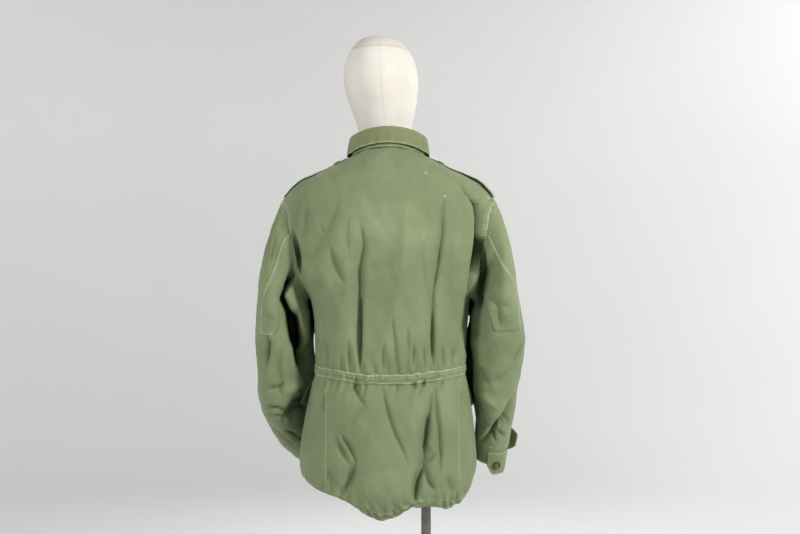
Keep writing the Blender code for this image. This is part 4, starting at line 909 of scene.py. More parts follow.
RIGHT_BACK_FOLDS = [
    # the same as the left one's folds, without a valley
    (-0.200, 1.268, -0.196, 1.190, -0.016, 0.012, 0.014, 2.0),
    (-0.192, 1.190, -0.188, 1.100, -0.014, 0.012, 0.012, 2.0),
    (-0.190, 1.205, -0.172, 1.170, 0.008, 0.008, 0.006, 1.6),
    (-0.205, 1.190, -0.255, 1.160, -0.005, 0.010, 0.010, 1.5),
    (-0.250, 1.240, -0.240, 1.140, 0.006, 0.016, 0.016, 2.0),
    (-0.210, 1.300, -0.228, 1.200, -0.006, 0.010, 0.014, 1.8),
]
RIGHT_CREASES = [
    # the same as the left one's creases
    (-0.014, 0.0025, 0.016, 1.5, (-0.2578, 0.9762), (-0.2431, 0.9469), (-0.2222, 0.9177),
     (-0.1972, 0.8759)),
    (0.006, 0.012, 0.003, 1.5, (-0.2536, 0.9762), (-0.2390, 0.9490), (-0.2181, 0.9198),
     (-0.1951, 0.8801)),
    (-0.007, 0.004, 0.004, 1.2, (-0.2097, 0.9219), (-0.2181, 0.9010), (-0.2285, 0.8759)),
    (-0.006, 0.004, 0.004, 1.2, (-0.2285, 0.9093), (-0.2369, 0.8968), (-0.2494, 0.8863)),
    (-0.006, 0.004, 0.004, 1.2, (-0.2390, 0.9386), (-0.2557, 0.9240), (-0.2557, 0.9052)),
    (0.005, 0.004, 0.004, 1.3, (-0.2348, 0.9302), (-0.2306, 0.8968)),
    (-0.007, 0.008, 0.006, 1.3, (-0.1909, 1.0431), (-0.1993, 1.0222), (-0.2118, 1.0034)),
    (-0.007, 0.004, 0.006, 1.2, (-0.2808, 1.0933), (-0.2724, 1.0724), (-0.2620, 1.0473)),
    (0.005, 0.006, 0.006, 1.4, (-0.1909, 0.9888), (-0.2118, 0.9658), (-0.2306, 0.9490)),
    (-0.004, 0.006, 0.004, 1.3, (-0.2055, 1.2855), (-0.2118, 1.2563), (-0.2055, 1.2228)),
    (-0.005, 0.012, 0.006, 1.4, (-0.2118, 1.1873), (-0.2285, 1.1643), (-0.2306, 1.1225)),
    (0.004, 0.014, 0.014, 1.6, (-0.2431, 1.2019), (-0.2536, 1.1183)),
    (-0.004, 0.008, 0.006, 1.4, (-0.2578, 1.0431), (-0.2369, 1.0180), (-0.2118, 1.0055)),
    (-0.005, 0.006, 0.006, 1.3, (-0.1825, 0.9825), (-0.1909, 0.9511), (-0.1888, 0.9135)),
]
RIGHT_PAINTED_SHADE = [
    # painted shade where the cloth lies in the fold beside the pleat
    (1, 0.011, 0.007, 8, (-0.1900, 1.3200), (-0.1980, 1.2800), (-0.2010, 1.2437), (-0.1951, 1.2019),
     (-0.1909, 1.1500)),
]
SLEEVE_FRONT_FOLDS = [
    # x counts outwards on either side, then the same as the folds above
    (0.214, 1.255, 0.222, 1.170, -0.012, 0.015, 0.013, 2.0),
    (0.222, 1.170, 0.214, 1.060, -0.012, 0.016, 0.014, 2.0),
    (0.262, 1.110, 0.225, 1.075, -0.007, 0.010, 0.012, 1.6),
    (0.262, 1.050, 0.222, 1.085, -0.005, 0.012, 0.010, 1.6),
    (0.258, 0.960, 0.216, 0.990, -0.007, 0.010, 0.012, 1.6),
    (0.250, 0.930, 0.212, 0.945, -0.005, 0.008, 0.010, 1.6),
    (0.245, 1.010, 0.225, 1.030, 0.004, 0.012, 0.012, 2.0),
]
CLOSED_LEFT = [
    # z, how much the inner side leans to the body, and the slit of light seen between them from behind
    (0.905, 0.0, -0.03),
    (0.950, 0.9, -0.03),
    (1.040, 1.0, -0.03),
    (1.050, 1.0, 0.000),
    (1.058, 1.0, 0.0045),
    (1.082, 1.0, 0.0055),
    (1.104, 1.0, 0.0045),
    (1.112, 1.0, 0.000),
    (1.122, 1.0, -0.03),
    (1.235, 1.0, -0.03),
    (1.280, 0.0, -0.03),
]
CLOSED_RIGHT = [
    # the same
    (0.845, 0.7, 0.000),
    (0.865, 0.8, 0.0025),
    (0.907, 1.0, 0.0065),
    (0.950, 1.0, 0.0070),
    (0.963, 1.0, 0.0020),
    (0.975, 1.0, -0.03),
    (1.030, 1.0, -0.03),
    (1.038, 1.0, 0.0020),
    (1.050, 1.0, 0.0045),
    (1.061, 1.0, 0.0020),
    (1.068, 1.0, -0.03),
    (1.108, 1.0, -0.03),
    (1.116, 1.0, 0.0020),
    (1.132, 1.0, 0.0050),
    (1.146, 1.0, 0.0040),
    (1.152, 1.0, -0.03),
    (1.240, 1.0, -0.03),
    (1.285, 0.0, -0.03),
]


def arm_rings(table, side, angle, stations):
    """Rings of the arm: ellipses square to the line through their centres."""
    at = np.asarray(stations, float) - 1
    values = spline(table, at)
    ahead = spline(table, np.minimum(at + 0.05, len(table) - 1))
    behind = spline(table, np.maximum(at - 0.05, 0))
    along = unit(ahead[:, :3] - behind[:, :3])
    outer = np.array([side, 0.0, 0.0])
    across = unit(outer - along * (along @ outer)[:, None])
    deep = unit(np.cross(along, across))
    deep *= np.sign(deep[:, 1])[:, None]
    c, s = np.cos(angle)[None, :, None], np.sin(angle)[None, :, None]
    wide, thick = values[:, 3, None, None], values[:, 4, None, None]
    return values[:, None, :3] + across[:, None] * wide * c + deep[:, None] * thick * s


def sleeve_tube(table, side, angle, head, arm):
    """The smooth sleeve: its first ring lies just inside the armhole's edge, and a smooth curve leads each
    of its points outwards and down into the arm's rings."""
    c, s = np.cos(angle), np.sin(angle)
    turn = np.where(s > 0, ARMHOLE_BACK, ARMHOLE_FRONT) * (1 + ARMHOLE_TURN / ARMHOLE_WIDE) * s
    theta = turn if side > 0 else math.pi - turn
    level = ARMHOLE_MIDDLE + ARMHOLE_HALF * c * (1 + ARMHOLE_TURN / ARMHOLE_TALL)
    points, _, normal = torso_frame(theta, level)
    ring = points + normal * ARMHOLE_LAP
    rings = arm_rings(table, side, angle, arm)
    first = rings[0]
    gap = np.linalg.norm(first - ring, axis=1, keepdims=True)
    # The cloth leaves the armhole outwards, and more steeply downwards at its top.
    up = np.maximum(c, 0)
    leave = unit(np.stack([(0.85 - 0.47 * up) * side, 0.25 * s, -0.35 - 0.57 * up], -1))
    arrive = unit(arm_rings(table, side, angle, [1.1])[0] - first)
    t = head[:, None, None]
    h0, h1 = (1 + 2 * t) * (1 - t) ** 2, t * t * (3 - 2 * t)
    d0, d1 = t * (1 - t) ** 2, t * t * (t - 1)
    top = h0 * ring + h1 * first + (d0 * leave + d1 * arrive) * gap * 1.15
    return np.concatenate([top, rings])


def body_side(y, z, side):
    """How far out the smooth body reaches at its side, for a depth and a height."""
    level = np.interp(z, np.array(TORSO)[:, 0], np.arange(NECK_LEVEL + 1.0))
    row = spline(TORSO, level)
    half, deep = row[..., 3 if side > 0 else 4], np.where(y > 0, row[..., 5], row[..., 6])
    share = np.clip(1 - (np.abs(y) / deep) ** row[..., 7], 0, 1)
    return half * share ** (1 / row[..., 7])


def closed_in(grid, side, inner, table):
    """How far a sleeve's inner side moves towards the body: up to the body, or up to where the eye sees
    the table's slit of light beside it."""
    x, y, z = grid[..., 0] * side, grid[..., 1], grid[..., 2]
    heights, leans, slits = np.array(table).T
    lean, slit = np.interp(z, heights, leans), np.interp(z, heights, slits)
    half = body_side(0 * z, z, side)
    seen = half + (half - EYE_X * side) * np.maximum(-y, 0) / EYE_Y
    goal = np.maximum(body_side(y, z, side) + 0.002, seen + slit)
    return side * np.minimum((goal - x) * lean * inner, 0)


def sleeve_grid(table, side, back_folds, back_creases, painted_shade_runs, closed):
    """A sleeve: the smooth tube gets its creases, gathers and ripples along its normals and its deep folds
    mostly forwards, and its inner side closes in on the body. Its deep folds, inner side and creases get
    painted shade."""
    angle = np.linspace(0, 2 * math.pi, SLEEVE_COLUMNS, endpoint=False)
    head = np.linspace(0, 1, HEAD_ROWS + 1)[:-1]
    arm = np.linspace(1, len(table), ARM_ROWS)
    c, s = np.cos(angle), np.sin(angle)
    plain = sleeve_tube(table, side, angle, head, arm)
    normal = grid_normals(plain, closed=True, flip=side > 0)
    behind = np.clip(0.5 + 1.6 * s, 0, 1)[None]
    free = smooth(np.concatenate([head, arm])[:, None], 0.0, 0.35)
    x, z = plain[..., 0], plain[..., 2]
    crease = creases(x, z, back_creases) * behind
    deep = folds(x, z, back_folds) * behind * free
    high = folds(x * side, z, SLEEVE_FRONT_FOLDS) * (1 - behind) + crease
    high += gathers(runs(plain, 1), z, ARM_GATHERS_Z, 0.10, 41 + side, -1, 0.002, 0.03)
    high += ripple(plain, 44 + side, 0.0009) + ripple(plain, 47 + side, 0.0005, 0.024)
    grid = plain + normal * (high * free)[..., None] + unit(normal * [0.2, 1.0, 0.2]) * deep[..., None]
    inner = smooth(-c, 0.45, 0.80) * smooth(-s, -0.05, 0.35)
    grid[..., 0] += closed_in(grid, side, inner[None], closed)
    # Painted shade, as the depth mark: the deep folds, the inner side facing the body (weaker low on the left
    # sleeve), the table's runs and every crease darken the colour.
    shade = np.interp(z, (1.09, 1.13), (0.25, 0.9)) if side > 0 else 0.95
    depth = smooth(-deep, 0.012, 0.032) + smooth(-c, 0.72, 0.95) * smooth(0.3 - s, 0, 0.3) * free * shade
    depth = depth + creases(x, z, painted_shade_runs) * behind + 0.45 * np.clip(-crease / FULL_CREASE, 0, 1)
    return grid, plain, np.clip(depth, 0, 1)


sleeves, plain_sleeves = {}, {}
for word, side, *tables in (
    ("left", 1, ARM_LEFT, LEFT_BACK_FOLDS, LEFT_CREASES, [], CLOSED_LEFT),
    ("right", -1, ARM_RIGHT, RIGHT_BACK_FOLDS, RIGHT_CREASES, RIGHT_PAINTED_SHADE, CLOSED_RIGHT),
):
    grid, plain_sleeves[word], depth = sleeve_grid(tables[0], side, *tables[1:])
    sleeves[word] = grid
    wear = 0.55 * bell(runs(grid[::-1], 0)[::-1], 0.003) + 0.40 * bell(runs(grid, 0), 0.003)
    cloth_piece(f"sleeve_{word}", grid, {"wear": wear, "depth": depth}, side=1, closed=True, flip=side > 0)

# ---------------------------------------------------------------------------------------------------
# Sleeve gussets. A long panel sewn on the back of each upper sleeve so that the arm can swing forwards,
# with two close rows of stitching down its outer edge and a square lower end.
# ---------------------------------------------------------------------------------------------------
# How far one piece lies off the next, and a gusset's thickness.
LAP, GUSSET_WALL = 0.0004, 0.0012
GUSSET_LEFT = [
    # z, x of the outer edge, x of the inner edge
    (1.3211, 0.2062, 0.1960),
    (1.2980, 0.2229, 0.1975),
    (1.2437, 0.2396, 0.1935),
    (1.1894, 0.2564, 0.2290),
    (1.1350, 0.2655, 0.2270),
    (1.1100, 0.2665, 0.2390),
]
GUSSET_RIGHT = [
    (1.3148, -0.2097, -0.1960),
    (1.2646, -0.2348, -0.1930),
    (1.2270, -0.2536, -0.1940),
    (1.1900, -0.2680, -0.1980),
    (1.1500, -0.2740, -0.2100),
    (1.1180, -0.2760, -0.2200),
]


def read_grid(grid, rows, columns, closed=False):
    """The grid between its points, at fractional rows and columns."""
    rows, columns = np.broadcast_arrays(np.asarray(rows, float), np.asarray(columns, float))
    wide = grid.shape[1]
    i = np.clip(np.floor(rows).astype(int), 0, grid.shape[0] - 2)
    j = np.floor(columns).astype(int)
    j = j % wide if closed else np.clip(j, 0, wide - 2)
    k = (j + 1) % wide
    f = (rows - i)[..., None]
    g = (columns - np.floor(columns))[..., None] if closed else (columns - j)[..., None]
    low = grid[i, j] * (1 - g) + grid[i, k] * g
    high = grid[i + 1, j] * (1 - g) + grid[i + 1, k] * g
    return low * (1 - f) + high * f


def edge_marks(grid, reach, strong, sides="nsew"):
    """Wear along the edges of a grid: a bell of the distance to each named edge."""
    down, along = runs(grid, 0), runs(grid, 1)
    away = {"n": down, "s": down[-1:] - down, "w": along, "e": along[:, -1:] - along}
    return strong * np.max([bell(away[k], reach) for k in sides], 0)


def gusset_grid(plain, skin, table, rows=90, columns=28):
    """The panel is laid out by x and z as seen from behind, between two edges given by height. Each of
    its points takes the row and column of the smooth sleeve's back half that has the same x and z, found
    as the nearest point and then mended by the local slopes, and is read on the creased sleeve there."""
    table = spline(table, np.linspace(0, len(table) - 1, rows))
    share = np.linspace(0, 1, columns)[None]
    want = np.stack([table[:, 1:2] * (1 - share) + table[:, 2:3] * share, table[:, 0:1] + 0 * share], -1)
    half = plain[:, : SLEEVE_COLUMNS // 2 + 1][..., [0, 2]]
    flat = half[:-1, :-1].reshape(-1, 2)
    near = np.array([((flat - line[:, None]) ** 2).sum(-1).argmin(-1) for line in want])
    i, j = near // (half.shape[1] - 1), near % (half.shape[1] - 1)
    down, over = half[i + 1, j] - half[i, j], half[i, j + 1] - half[i, j]
    miss = want - half[i, j]
    size = down[..., 0] * over[..., 1] - down[..., 1] * over[..., 0]
    size = np.where(np.abs(size) < 1e-8, 1e-8, size)
    row = i + np.clip((miss[..., 0] * over[..., 1] - miss[..., 1] * over[..., 0]) / size, -1.5, 1.5)
    column = j + np.clip((down[..., 0] * miss[..., 1] - down[..., 1] * miss[..., 0]) / size, -1.5, 1.5)
    return read_grid(skin, row, column, closed=True)


skins, gussets = {}, {}
for word, side, table, painted_shade_runs, worn in (
    ("left", 1, GUSSET_LEFT, [], "ws"),
    ("right", -1, GUSSET_RIGHT, RIGHT_PAINTED_SHADE, "w"),
):
    out = grid_normals(sleeves[word], closed=True, flip=side > 0)
    skins[word] = sleeves[word] + out * (WALL + LAP)
    grid = gusset_grid(plain_sleeves[word], skins[word], table)
    gussets[word] = grid
    # The right gusset gets the same painted shade in the fold beside the pleat.
    depth = np.clip(creases(grid[..., 0], grid[..., 2], painted_shade_runs), 0, 1)
    marks = {"wear": edge_marks(grid, 0.0045, 0.36, worn), "depth": depth}
    node = f"sleeve_gusset_{word}"
    cloth_piece(f"gusset_{word}", grid, marks, node, wall=GUSSET_WALL, side=1, flip=side > 0)

# ---------------------------------------------------------------------------------------------------
# Collar. Two layers of the cloth, turned and stitched: a stand sewn to the neck and a fall that rolls
# over it, a little yellower than the body from handling.
# ---------------------------------------------------------------------------------------------------
TRIM_WALL = 0.0018
# How far the stand begins above the neck's ring, and how far the fall bows out.
COLLAR_RISE, COLLAR_BOW = 0.0012, 0.0009
COLLAR_END = math.radians(78)
COLLAR = [
    # the stand's height, then where the fall's edge lies, out from the neck and up from it
    (0.033, 0.0365, -0.0270),
    (0.035, 0.0255, -0.0160),
    (0.037, 0.0130, -0.0045),
    (0.0375, 0.0056, 0.0010),
    (0.039, 0.0044, 0.0040),
    (0.0405, 0.0038, 0.0070),
    (0.0410, 0.0036, 0.0078),
    (0.0405, 0.0038, 0.0070),
    (0.039, 0.0044, 0.0040),
    (0.0365, 0.0056, 0.0010),
    (0.036, 0.0130, -0.0045),
    (0.035, 0.0255, -0.0160),
    (0.033, 0.0365, -0.0270),
]
COLLAR_PROFILE = ((0, 0), (-0.0010, 0.35), (-0.0020, 0.72), (-0.0019, 0.93), (0.0, 1.0), (0.0024, 0.955))


def collar_grid(columns=190, rows=46):
    """The stand's profile rises from the neck seam and rolls over to the fall's edge, whose place round
    the neck comes from the table; a curve through the profile gives the rows, and the fall waves."""
    theta = np.linspace(-COLLAR_END, math.pi + COLLAR_END, columns)
    height, out, up = spline(COLLAR, np.linspace(0, len(COLLAR) - 1, columns)).T
    base, _, normal = torso_frame(theta, np.full(columns, float(NECK_LEVEL)))
    outward = unit(normal * [1, 1, 0])
    base = base + [0, 0, COLLAR_RISE]
    rise = np.array([0, 0, 1.0])
    profile = [base + outward * h + np.outer(height * v, rise) for h, v in COLLAR_PROFILE]
    edge = base + outward * out[:, None] + np.outer(up, rise)
    roll = profile[-1]
    for f in (0.33, 0.68, 1.0):
        profile.append(roll * (1 - f) + edge * f + outward * COLLAR_BOW * math.sin(math.pi * f))
    at = np.linspace(0, len(profile) - 1, rows)
    grid = spline(np.array(profile), at)
    fall = smooth(at, 4.5, 8)[:, None]
    wave = 0.0009 * np.sin(theta * 9 + 0.7) + 0.0006 * np.sin(theta * 23 + 2.0)
    away = fall * wave[None] + COLLAR_BOW * fall**2
    return grid + outward[None] * away[..., None]


olive_collar = sateen_finish(
    "collar_sateen_cloth", (0.142, 0.168, 0.072, 1), (0.175, 0.204, 0.090, 1), (0.215, 0.248, 0.118, 1)
)
collar = collar_grid()
cloth_piece("collar", collar, {"wear": edge_marks(collar, 0.003, 0.6)}, cloth=olive_collar, wall=TRIM_WALL)

# ---------------------------------------------------------------------------------------------------
# Buttons. Pressed olive plastic with a raised rim, a dished middle and four holes. Two bars of thread
# hold each of them on its strap, flap or tab.
# ---------------------------------------------------------------------------------------------------
# Radius, thickness, and how far the holes lie from the middle each way; then the holes' own size.
BUTTON_R, BUTTON_T, BUTTON_HOLE = 0.0086, 0.0030, 0.0019
HOLE_RADIUS, HOLE_DEPTH = 0.00072, 0.0012
# Rings of the profile, and how many of them lie on its upper face.
BUTTON_RINGS, FACE_RINGS = 40, 18
PLASTIC, PLASTIC_RUBBED = (0.040, 0.046, 0.022, 1), (0.075, 0.082, 0.045, 1)
BUTTON_PROFILE = [
    # radius, height, both as shares
    (0.002, 0.62), (0.20, 0.62), (0.42, 0.60), (0.60, 0.66), (0.70, 0.88), (0.78, 1.00), (0.88, 0.99),
    (0.96, 0.84), (1.00, 0.52), (0.98, 0.16), (0.90, 0.01), (0.50, 0.0), (0.002, 0.0),
]  # fmt: skip


def specks(tree):
    """The speckle of moulded plastic, rubbed dull here and there."""
    return noise(tree, places(tree), 900.0, 3.0)


def spun_frame(up):
    """Three axes for a round piece: two across it and its own."""
    up = unit(np.asarray(up, float))
    turn = np.array([0, 0, 1.0]) if abs(up[2]) < 0.9 else np.array([0, 1.0, 0])
    x = unit(np.cross(turn, up))
    return np.stack([x, np.cross(up, x), up])


def button_grid(centre, up):
    """A profile of radius and height turned about the axis, sunk at four holes round the middle."""
    at = np.linspace(0, len(BUTTON_PROFILE) - 1, BUTTON_RINGS)
    radius, height = spline(BUTTON_PROFILE, at).T
    radius, height = np.maximum(radius, 0.002) * BUTTON_R, height * BUTTON_T
    theta = np.linspace(0, 2 * math.pi, 56, endpoint=False)
    x, y = radius[:, None] * np.cos(theta), radius[:, None] * np.sin(theta)
    hole = sum(
        bell(np.hypot(x - a, y - b), HOLE_RADIUS, 4)
        for a in (-BUTTON_HOLE, BUTTON_HOLE)
        for b in (-BUTTON_HOLE, BUTTON_HOLE)
    )
    z = height[:, None] - hole * HOLE_DEPTH * (np.arange(BUTTON_RINGS) < FACE_RINGS)[:, None]
    return centre + np.stack([x, y, z], -1) @ spun_frame(up)


plastic = hard_finish(
    "olive_plastic_moulded", {"Roughness": 0.42, "Specular IOR Level": 0.45},
    specks, [(0.35, PLASTIC), (0.7, PLASTIC_RUBBED)], (0.34, 0.56), specks, 0.2,
)  # fmt: skip
button_spots = []


def button(node, spot, up):
    """A button in a CAD button's place, on top of the doubled cloth at a spot."""
    centre = spot + up * (TRIM_WALL + LAP)
    piece = shell(f"{node}_moulded", button_grid(centre, up), plastic, closed=True, flip=True)
    settle(piece, "olive_plastic", node)
    button_spots.append((centre, unit(up)))


# ---------------------------------------------------------------------------------------------------
# Epaulettes. A strap of doubled cloth along each shoulder seam, caught in the armhole seam and buttoned
# near the neck. The right one's outer end stands up a little.
# ---------------------------------------------------------------------------------------------------
EPAULETTE = [
    # level, half the width, lift above the shoulder
    (15.18, 0.0275, 0.0012),
    (15.45, 0.0272, 0.0010),
    (16.1, 0.0262, 0.0018),
    (16.9, 0.0252, 0.0018),
    (17.7, 0.0242, 0.0010),
    (18.3, 0.0232, 0.0008),
    (18.7, 0.0100, 0.0008),
]
# How much more the right one is lifted at each row of the table, and the table's row with the button.
EPAULETTE_LIFT_RIGHT = (0.0010, 0.0036, 0.0034, 0.0012, 0.0008, 0.0004, 0.0)
EPAULETTE_BUTTON = 5
# The grid's rows and columns, and the columns of each panel beside the shoulder seam that it may lie on.
EPAULETTE_ROWS, EPAULETTE_COLUMNS = 64, 22
SHOULDER_COLUMNS = 24


def row_of(level):
    """A panel's row for a level of the body."""
    return np.interp(level, levels, np.arange(len(levels)))


def trim_piece(name, grid, reach, strong, flip=False):
    """A piece of doubled cloth that lies on the jacket, rubbed pale along its edges."""
    cloth_piece(name, grid, {"wear": edge_marks(grid, reach, strong)}, wall=TRIM_WALL, side=1, flip=flip)


def epaulette_grid(front, back_part, side, more):
    """The strap's centre line is the shoulder seam; on each level it reaches half its width to either
    side along the cloth, and it is lifted off the cloth along its normal."""
    both = np.concatenate([front, back_part], 1)
    normal = grid_normals(both, flip=side < 0)
    table = np.array(EPAULETTE)
    table[:, 2] += more
    level, half, lift = spline(table, np.linspace(0, len(table) - 1, EPAULETTE_ROWS)).T
    row, every = row_of(level)[:, None], np.arange(float(both.shape[1]))
    along = runs(read_grid(both, row, every[None]), 1)
    middle = (along[:, SHOULDER_COLUMNS - 1] + along[:, SHOULDER_COLUMNS]) / 2
    want = middle[:, None] + half[:, None] * np.linspace(-1, 1, EPAULETTE_COLUMNS)[None]
    spots = np.array([np.interp(a, b, every) for a, b in zip(want, along)])
    outward = unit(read_grid(normal, row, spots))
    return read_grid(both, row, spots) + outward * (LAP + lift)[:, None, None]


epaulettes = {}
for word, side, more in (("left", 1, 0.0), ("right", -1, EPAULETTE_LIFT_RIGHT)):
    n = SHOULDER_COLUMNS
    front_part = fronts[word][:, -n:] if side > 0 else fronts[word][:, :n][:, ::-1]
    back_part = back[:, :n] if side > 0 else back[:, ::-1][:, :n]
    grid = epaulette_grid(front_part, back_part, side, more)
    epaulettes[word] = grid
    trim_piece(f"epaulette_{word}", grid, 0.0028, 0.6, flip=side < 0)
    stations = np.linspace(0, len(EPAULETTE) - 1, EPAULETTE_ROWS)
    spot = int(np.argmin(abs(stations - EPAULETTE_BUTTON))), EPAULETTE_COLUMNS // 2
    button(f"epaulette_button_{word}", grid[spot], grid_normals(grid, flip=side < 0)[spot])

# ---------------------------------------------------------------------------------------------------
# Storm flap. A doubled strip of the cloth over the front opening, turned, stitched round its edges and
# fastened with five buttons.
# ---------------------------------------------------------------------------------------------------
# The levels of its ends, half its width in columns of the fronts, and the rows and half the columns of
# its own grid.
STORM_LOW, STORM_HIGH, STORM_HALF = 0.9, 18.4, 11.2
STORM_ROWS, STORM_COLUMNS = 210, 14
# The buttons' heights, and their column on the flap.
FRONT_BUTTON_Z = (1.385, 1.270, 1.155, 0.945, 0.860)
FRONT_BUTTON_COLUMN = 4.0
both_fronts = np.concatenate([fronts["right"], fronts["left"]], 1)
rows = np.linspace(row_of(STORM_LOW), row_of(STORM_HIGH), STORM_ROWS)[:, None]
right_half = np.linspace(FRONT_COLUMNS - 1 - STORM_HALF, FRONT_COLUMNS - 1, STORM_COLUMNS)
left_half = np.linspace(FRONT_COLUMNS, FRONT_COLUMNS + STORM_HALF, STORM_COLUMNS)
columns = np.concatenate([right_half, left_half])[None]
flap = read_grid(both_fronts, rows, columns)
flap_out = unit(read_grid(grid_normals(both_fronts), rows, columns))
flap = flap + flap_out * (LAP + np.abs(ripple(flap, 51, 0.0002)))[..., None]
trim_piece("storm_flap", flap, 0.0028, 0.55)
for i, z in enumerate(FRONT_BUTTON_Z):
    row = np.interp(z, flap[:, 5, 2], np.arange(STORM_ROWS))
    up = unit(read_grid(grid_normals(flap), row, FRONT_BUTTON_COLUMN))
    button(f"front_button_{i + 1}", read_grid(flap, row, FRONT_BUTTON_COLUMN), up)

# ---------------------------------------------------------------------------------------------------
# Waist channel. The drawcord's casing: a narrow strip sewn round the waist along both of its edges, drawn
# up so that it puckers. The cord inside doesn't show.
# ---------------------------------------------------------------------------------------------------
# The strip's thickness, how far its puckers stand out, and how far they pull it up or down.
CHANNEL_WALL, PUCKER, SLIP = 0.0008, 0.0048, 0.0013


def channel_grid(panel, low, high, seed, rows=13):
    """A strip on the panel between two levels: flat where it is sewn along its edges, fuller between
    them, with small upright puckers drawn at random."""
    columns = np.linspace(low, high, int(1.6 * (high - low)))[None]
    share = np.linspace(0, 1, rows)[:, None]
    at = row_of(CHANNEL_LOW + (CHANNEL_HIGH - CHANNEL_LOW) * share)
    points = read_grid(panel, at, columns)
    up = unit(read_grid(grid_normals(panel), at, columns))
    run = runs(points, 1)
    rng = np.random.default_rng(seed)
    pucker, slip = np.zeros_like(run), np.zeros_like(run)
    for spot in np.cumsum(rng.uniform(0.0055, 0.0150, 70)):
        off = run - spot - rng.uniform(-0.006, 0.006) * share
        wide = rng.uniform(0.0016, 0.0030)
        pucker += rng.uniform(0.35, 1.0) * bell(off, wide, 1.5)
        slip += rng.uniform(-1, 1) * bell(off, 0.006)
    full = 0.25 + 0.75 * np.sin(math.pi * share) ** 0.6
    away = 2 * LAP + PUCKER * np.clip(pucker, 0, 1.2) * full
    return points + up * away[..., None] + np.array([0, 0, SLIP]) * slip[..., None]


channels = {}
for word, panel, low, high, seed in (
    ("back", back, 0.4, back.shape[1] - 1.4, 61),
    ("left", fronts["left"], 12.0, FRONT_COLUMNS - 1.2, 62),
    ("right", fronts["right"], 0.2, FRONT_COLUMNS - 13.0, 63),
):
    grid = channel_grid(panel, low, high, seed)
    channels[word] = grid
    marks = {"wear": edge_marks(grid, 0.0028, 0.85, "ns")}
    cloth_piece(f"waist_channel_{word}", grid, marks, wall=CHANNEL_WALL, side=1)

# ---------------------------------------------------------------------------------------------------
# Pocket flaps. Doubled flaps over the lower pockets, sewn along their tops. The left one's rear corner
# stands away from the hip.
# ---------------------------------------------------------------------------------------------------
FLAP = [
    # level, middle's extra drop in levels, lift above the panel
    (5.3, 0.0, 0.0),
    (5.15, 0.02, 0.0030),
    (4.85, 0.05, 0.0060),
    (4.55, 0.09, 0.0085),
    (4.30, 0.13, 0.0100),
]


def flap_grid(panel, side, loose, flare, rows=34, columns=64):
    """The flap follows the panel, lifted more and more towards its free edge, whose middle hangs lower."""
    spots = np.linspace(8, 64, columns)
    spots = panel.shape[1] - 1 - spots if side > 0 else spots
    spread = np.linspace(0, 1, columns)
    level, drop, lift = spline(FLAP, np.linspace(0, len(FLAP) - 1, rows)).T[..., None]
    at = row_of(level - drop * np.sin(math.pi * spread))
    away = 1.5 * LAP + lift * loose + flare * (lift / FLAP[-1][2]) ** 2 * (1 - spread) ** 2
    up = unit(read_grid(grid_normals(panel), at, spots[None]))
    points = read_grid(panel, at, spots[None]) + up * away[..., None]
    return points + up * ripple(points, 71 + side, 0.0004)[..., None] * (lift[..., None] / 0.01)


pocket_flaps = {}
for word, side, loose, flare in (("left", 1, 1.0, 0.0062), ("right", -1, 0.5, 0.0)):
    pocket_flaps[word] = flap_grid(fronts[word], side, loose, flare)
    trim_piece(f"pocket_flap_{word}", pocket_flaps[word], 0.0045, 0.95, flip=side < 0)

# ---------------------------------------------------------------------------------------------------
# Cuff tabs. A doubled tab hangs below the back of each cuff under its button, and the strap's end sticks
# out past the arm.
# ---------------------------------------------------------------------------------------------------
TAB = [
    # station of the arm, past the sleeve's end, first and last angle round the arm
    (7.0, 0.0, 17.8, 106.3),
    (7.5, 0.0, 17.8, 106.3),
    (8.0, 0.0, 17.8, 106.3),
    (8.0, 0.0100, 25.4, 98.8),
    (8.0, 0.0215, 38.8, 88.4),
]
# The tab's row and column with the button.
TAB_BUTTON = (15, 16)
STRAP = [
    # angle round the arm, past it along the tangent, its lowest and highest station
    (286.3, 0.0, 7.5, 6.0),
    (304.1, 0.0, 7.5, 6.0),
    (323.1, 0.0, 7.5, 6.0),
    (323.1, 0.020, 7.45, 6.05),
    (323.1, 0.037, 7.15, 6.35),
]
# The station at which the strap's direction is taken.
STRAP_MIDDLE = 6.5


def arm_row(station):
    """A sleeve grid's row for a station of the arm."""
    return HEAD_ROWS + (np.asarray(station, float) - 1) * (ARM_ROWS - 1) / (len(ARM_LEFT) - 1)


def on_arm(skin, station, degrees):
    """Points of a sleeve's outside at stations of the arm and angles round it."""
    return read_grid(skin, arm_row(station), degrees / 360 * SLEEVE_COLUMNS, closed=True)


def tab_grid(skin, rows=30, columns=26):
    """Five lines round the cuff, the last two moved past its end, joined by a smooth curve."""
    along = unit((skin[-1] - skin[-4]).mean(0))
    lines = [
        on_arm(skin, station, np.linspace(low, high, columns)) + along * past
        for station, past, low, high in TAB
    ]
    return spline(np.array(lines), np.linspace(0, len(TAB) - 1, rows))


def strap_grid(skin, rows=18, columns=30):
    """Three upright lines on the cuff and two past it along the tangent, joined by a smooth curve."""
    ends = [on_arm(skin, STRAP_MIDDLE, STRAP[i][0]) for i in (1, 2)]
    tangent = unit((ends[1] - ends[0]) * [1, 1, 0.2])
    lines = [
        on_arm(skin, np.linspace(low, high, rows), degrees) + tangent * past
        for degrees, past, low, high in STRAP
    ]
    return spline(np.array(lines), np.linspace(0, len(STRAP) - 1, columns)).transpose(1, 0, 2)


tabs, straps = {}, {}
for word, side in (("left", 1), ("right", -1)):
    tabs[word], straps[word] = tab_grid(skins[word]), strap_grid(skins[word])
    trim_piece(f"cuff_tab_{word}", tabs[word], 0.0028, 0.6, flip=side > 0)
    up = grid_normals(tabs[word], flip=side > 0)[TAB_BUTTON]
    button(f"cuff_button_{word}", tabs[word][TAB_BUTTON], up)
    trim_piece(f"cuff_strap_{word}", straps[word], 0.0028, 0.6, flip=side < 0)
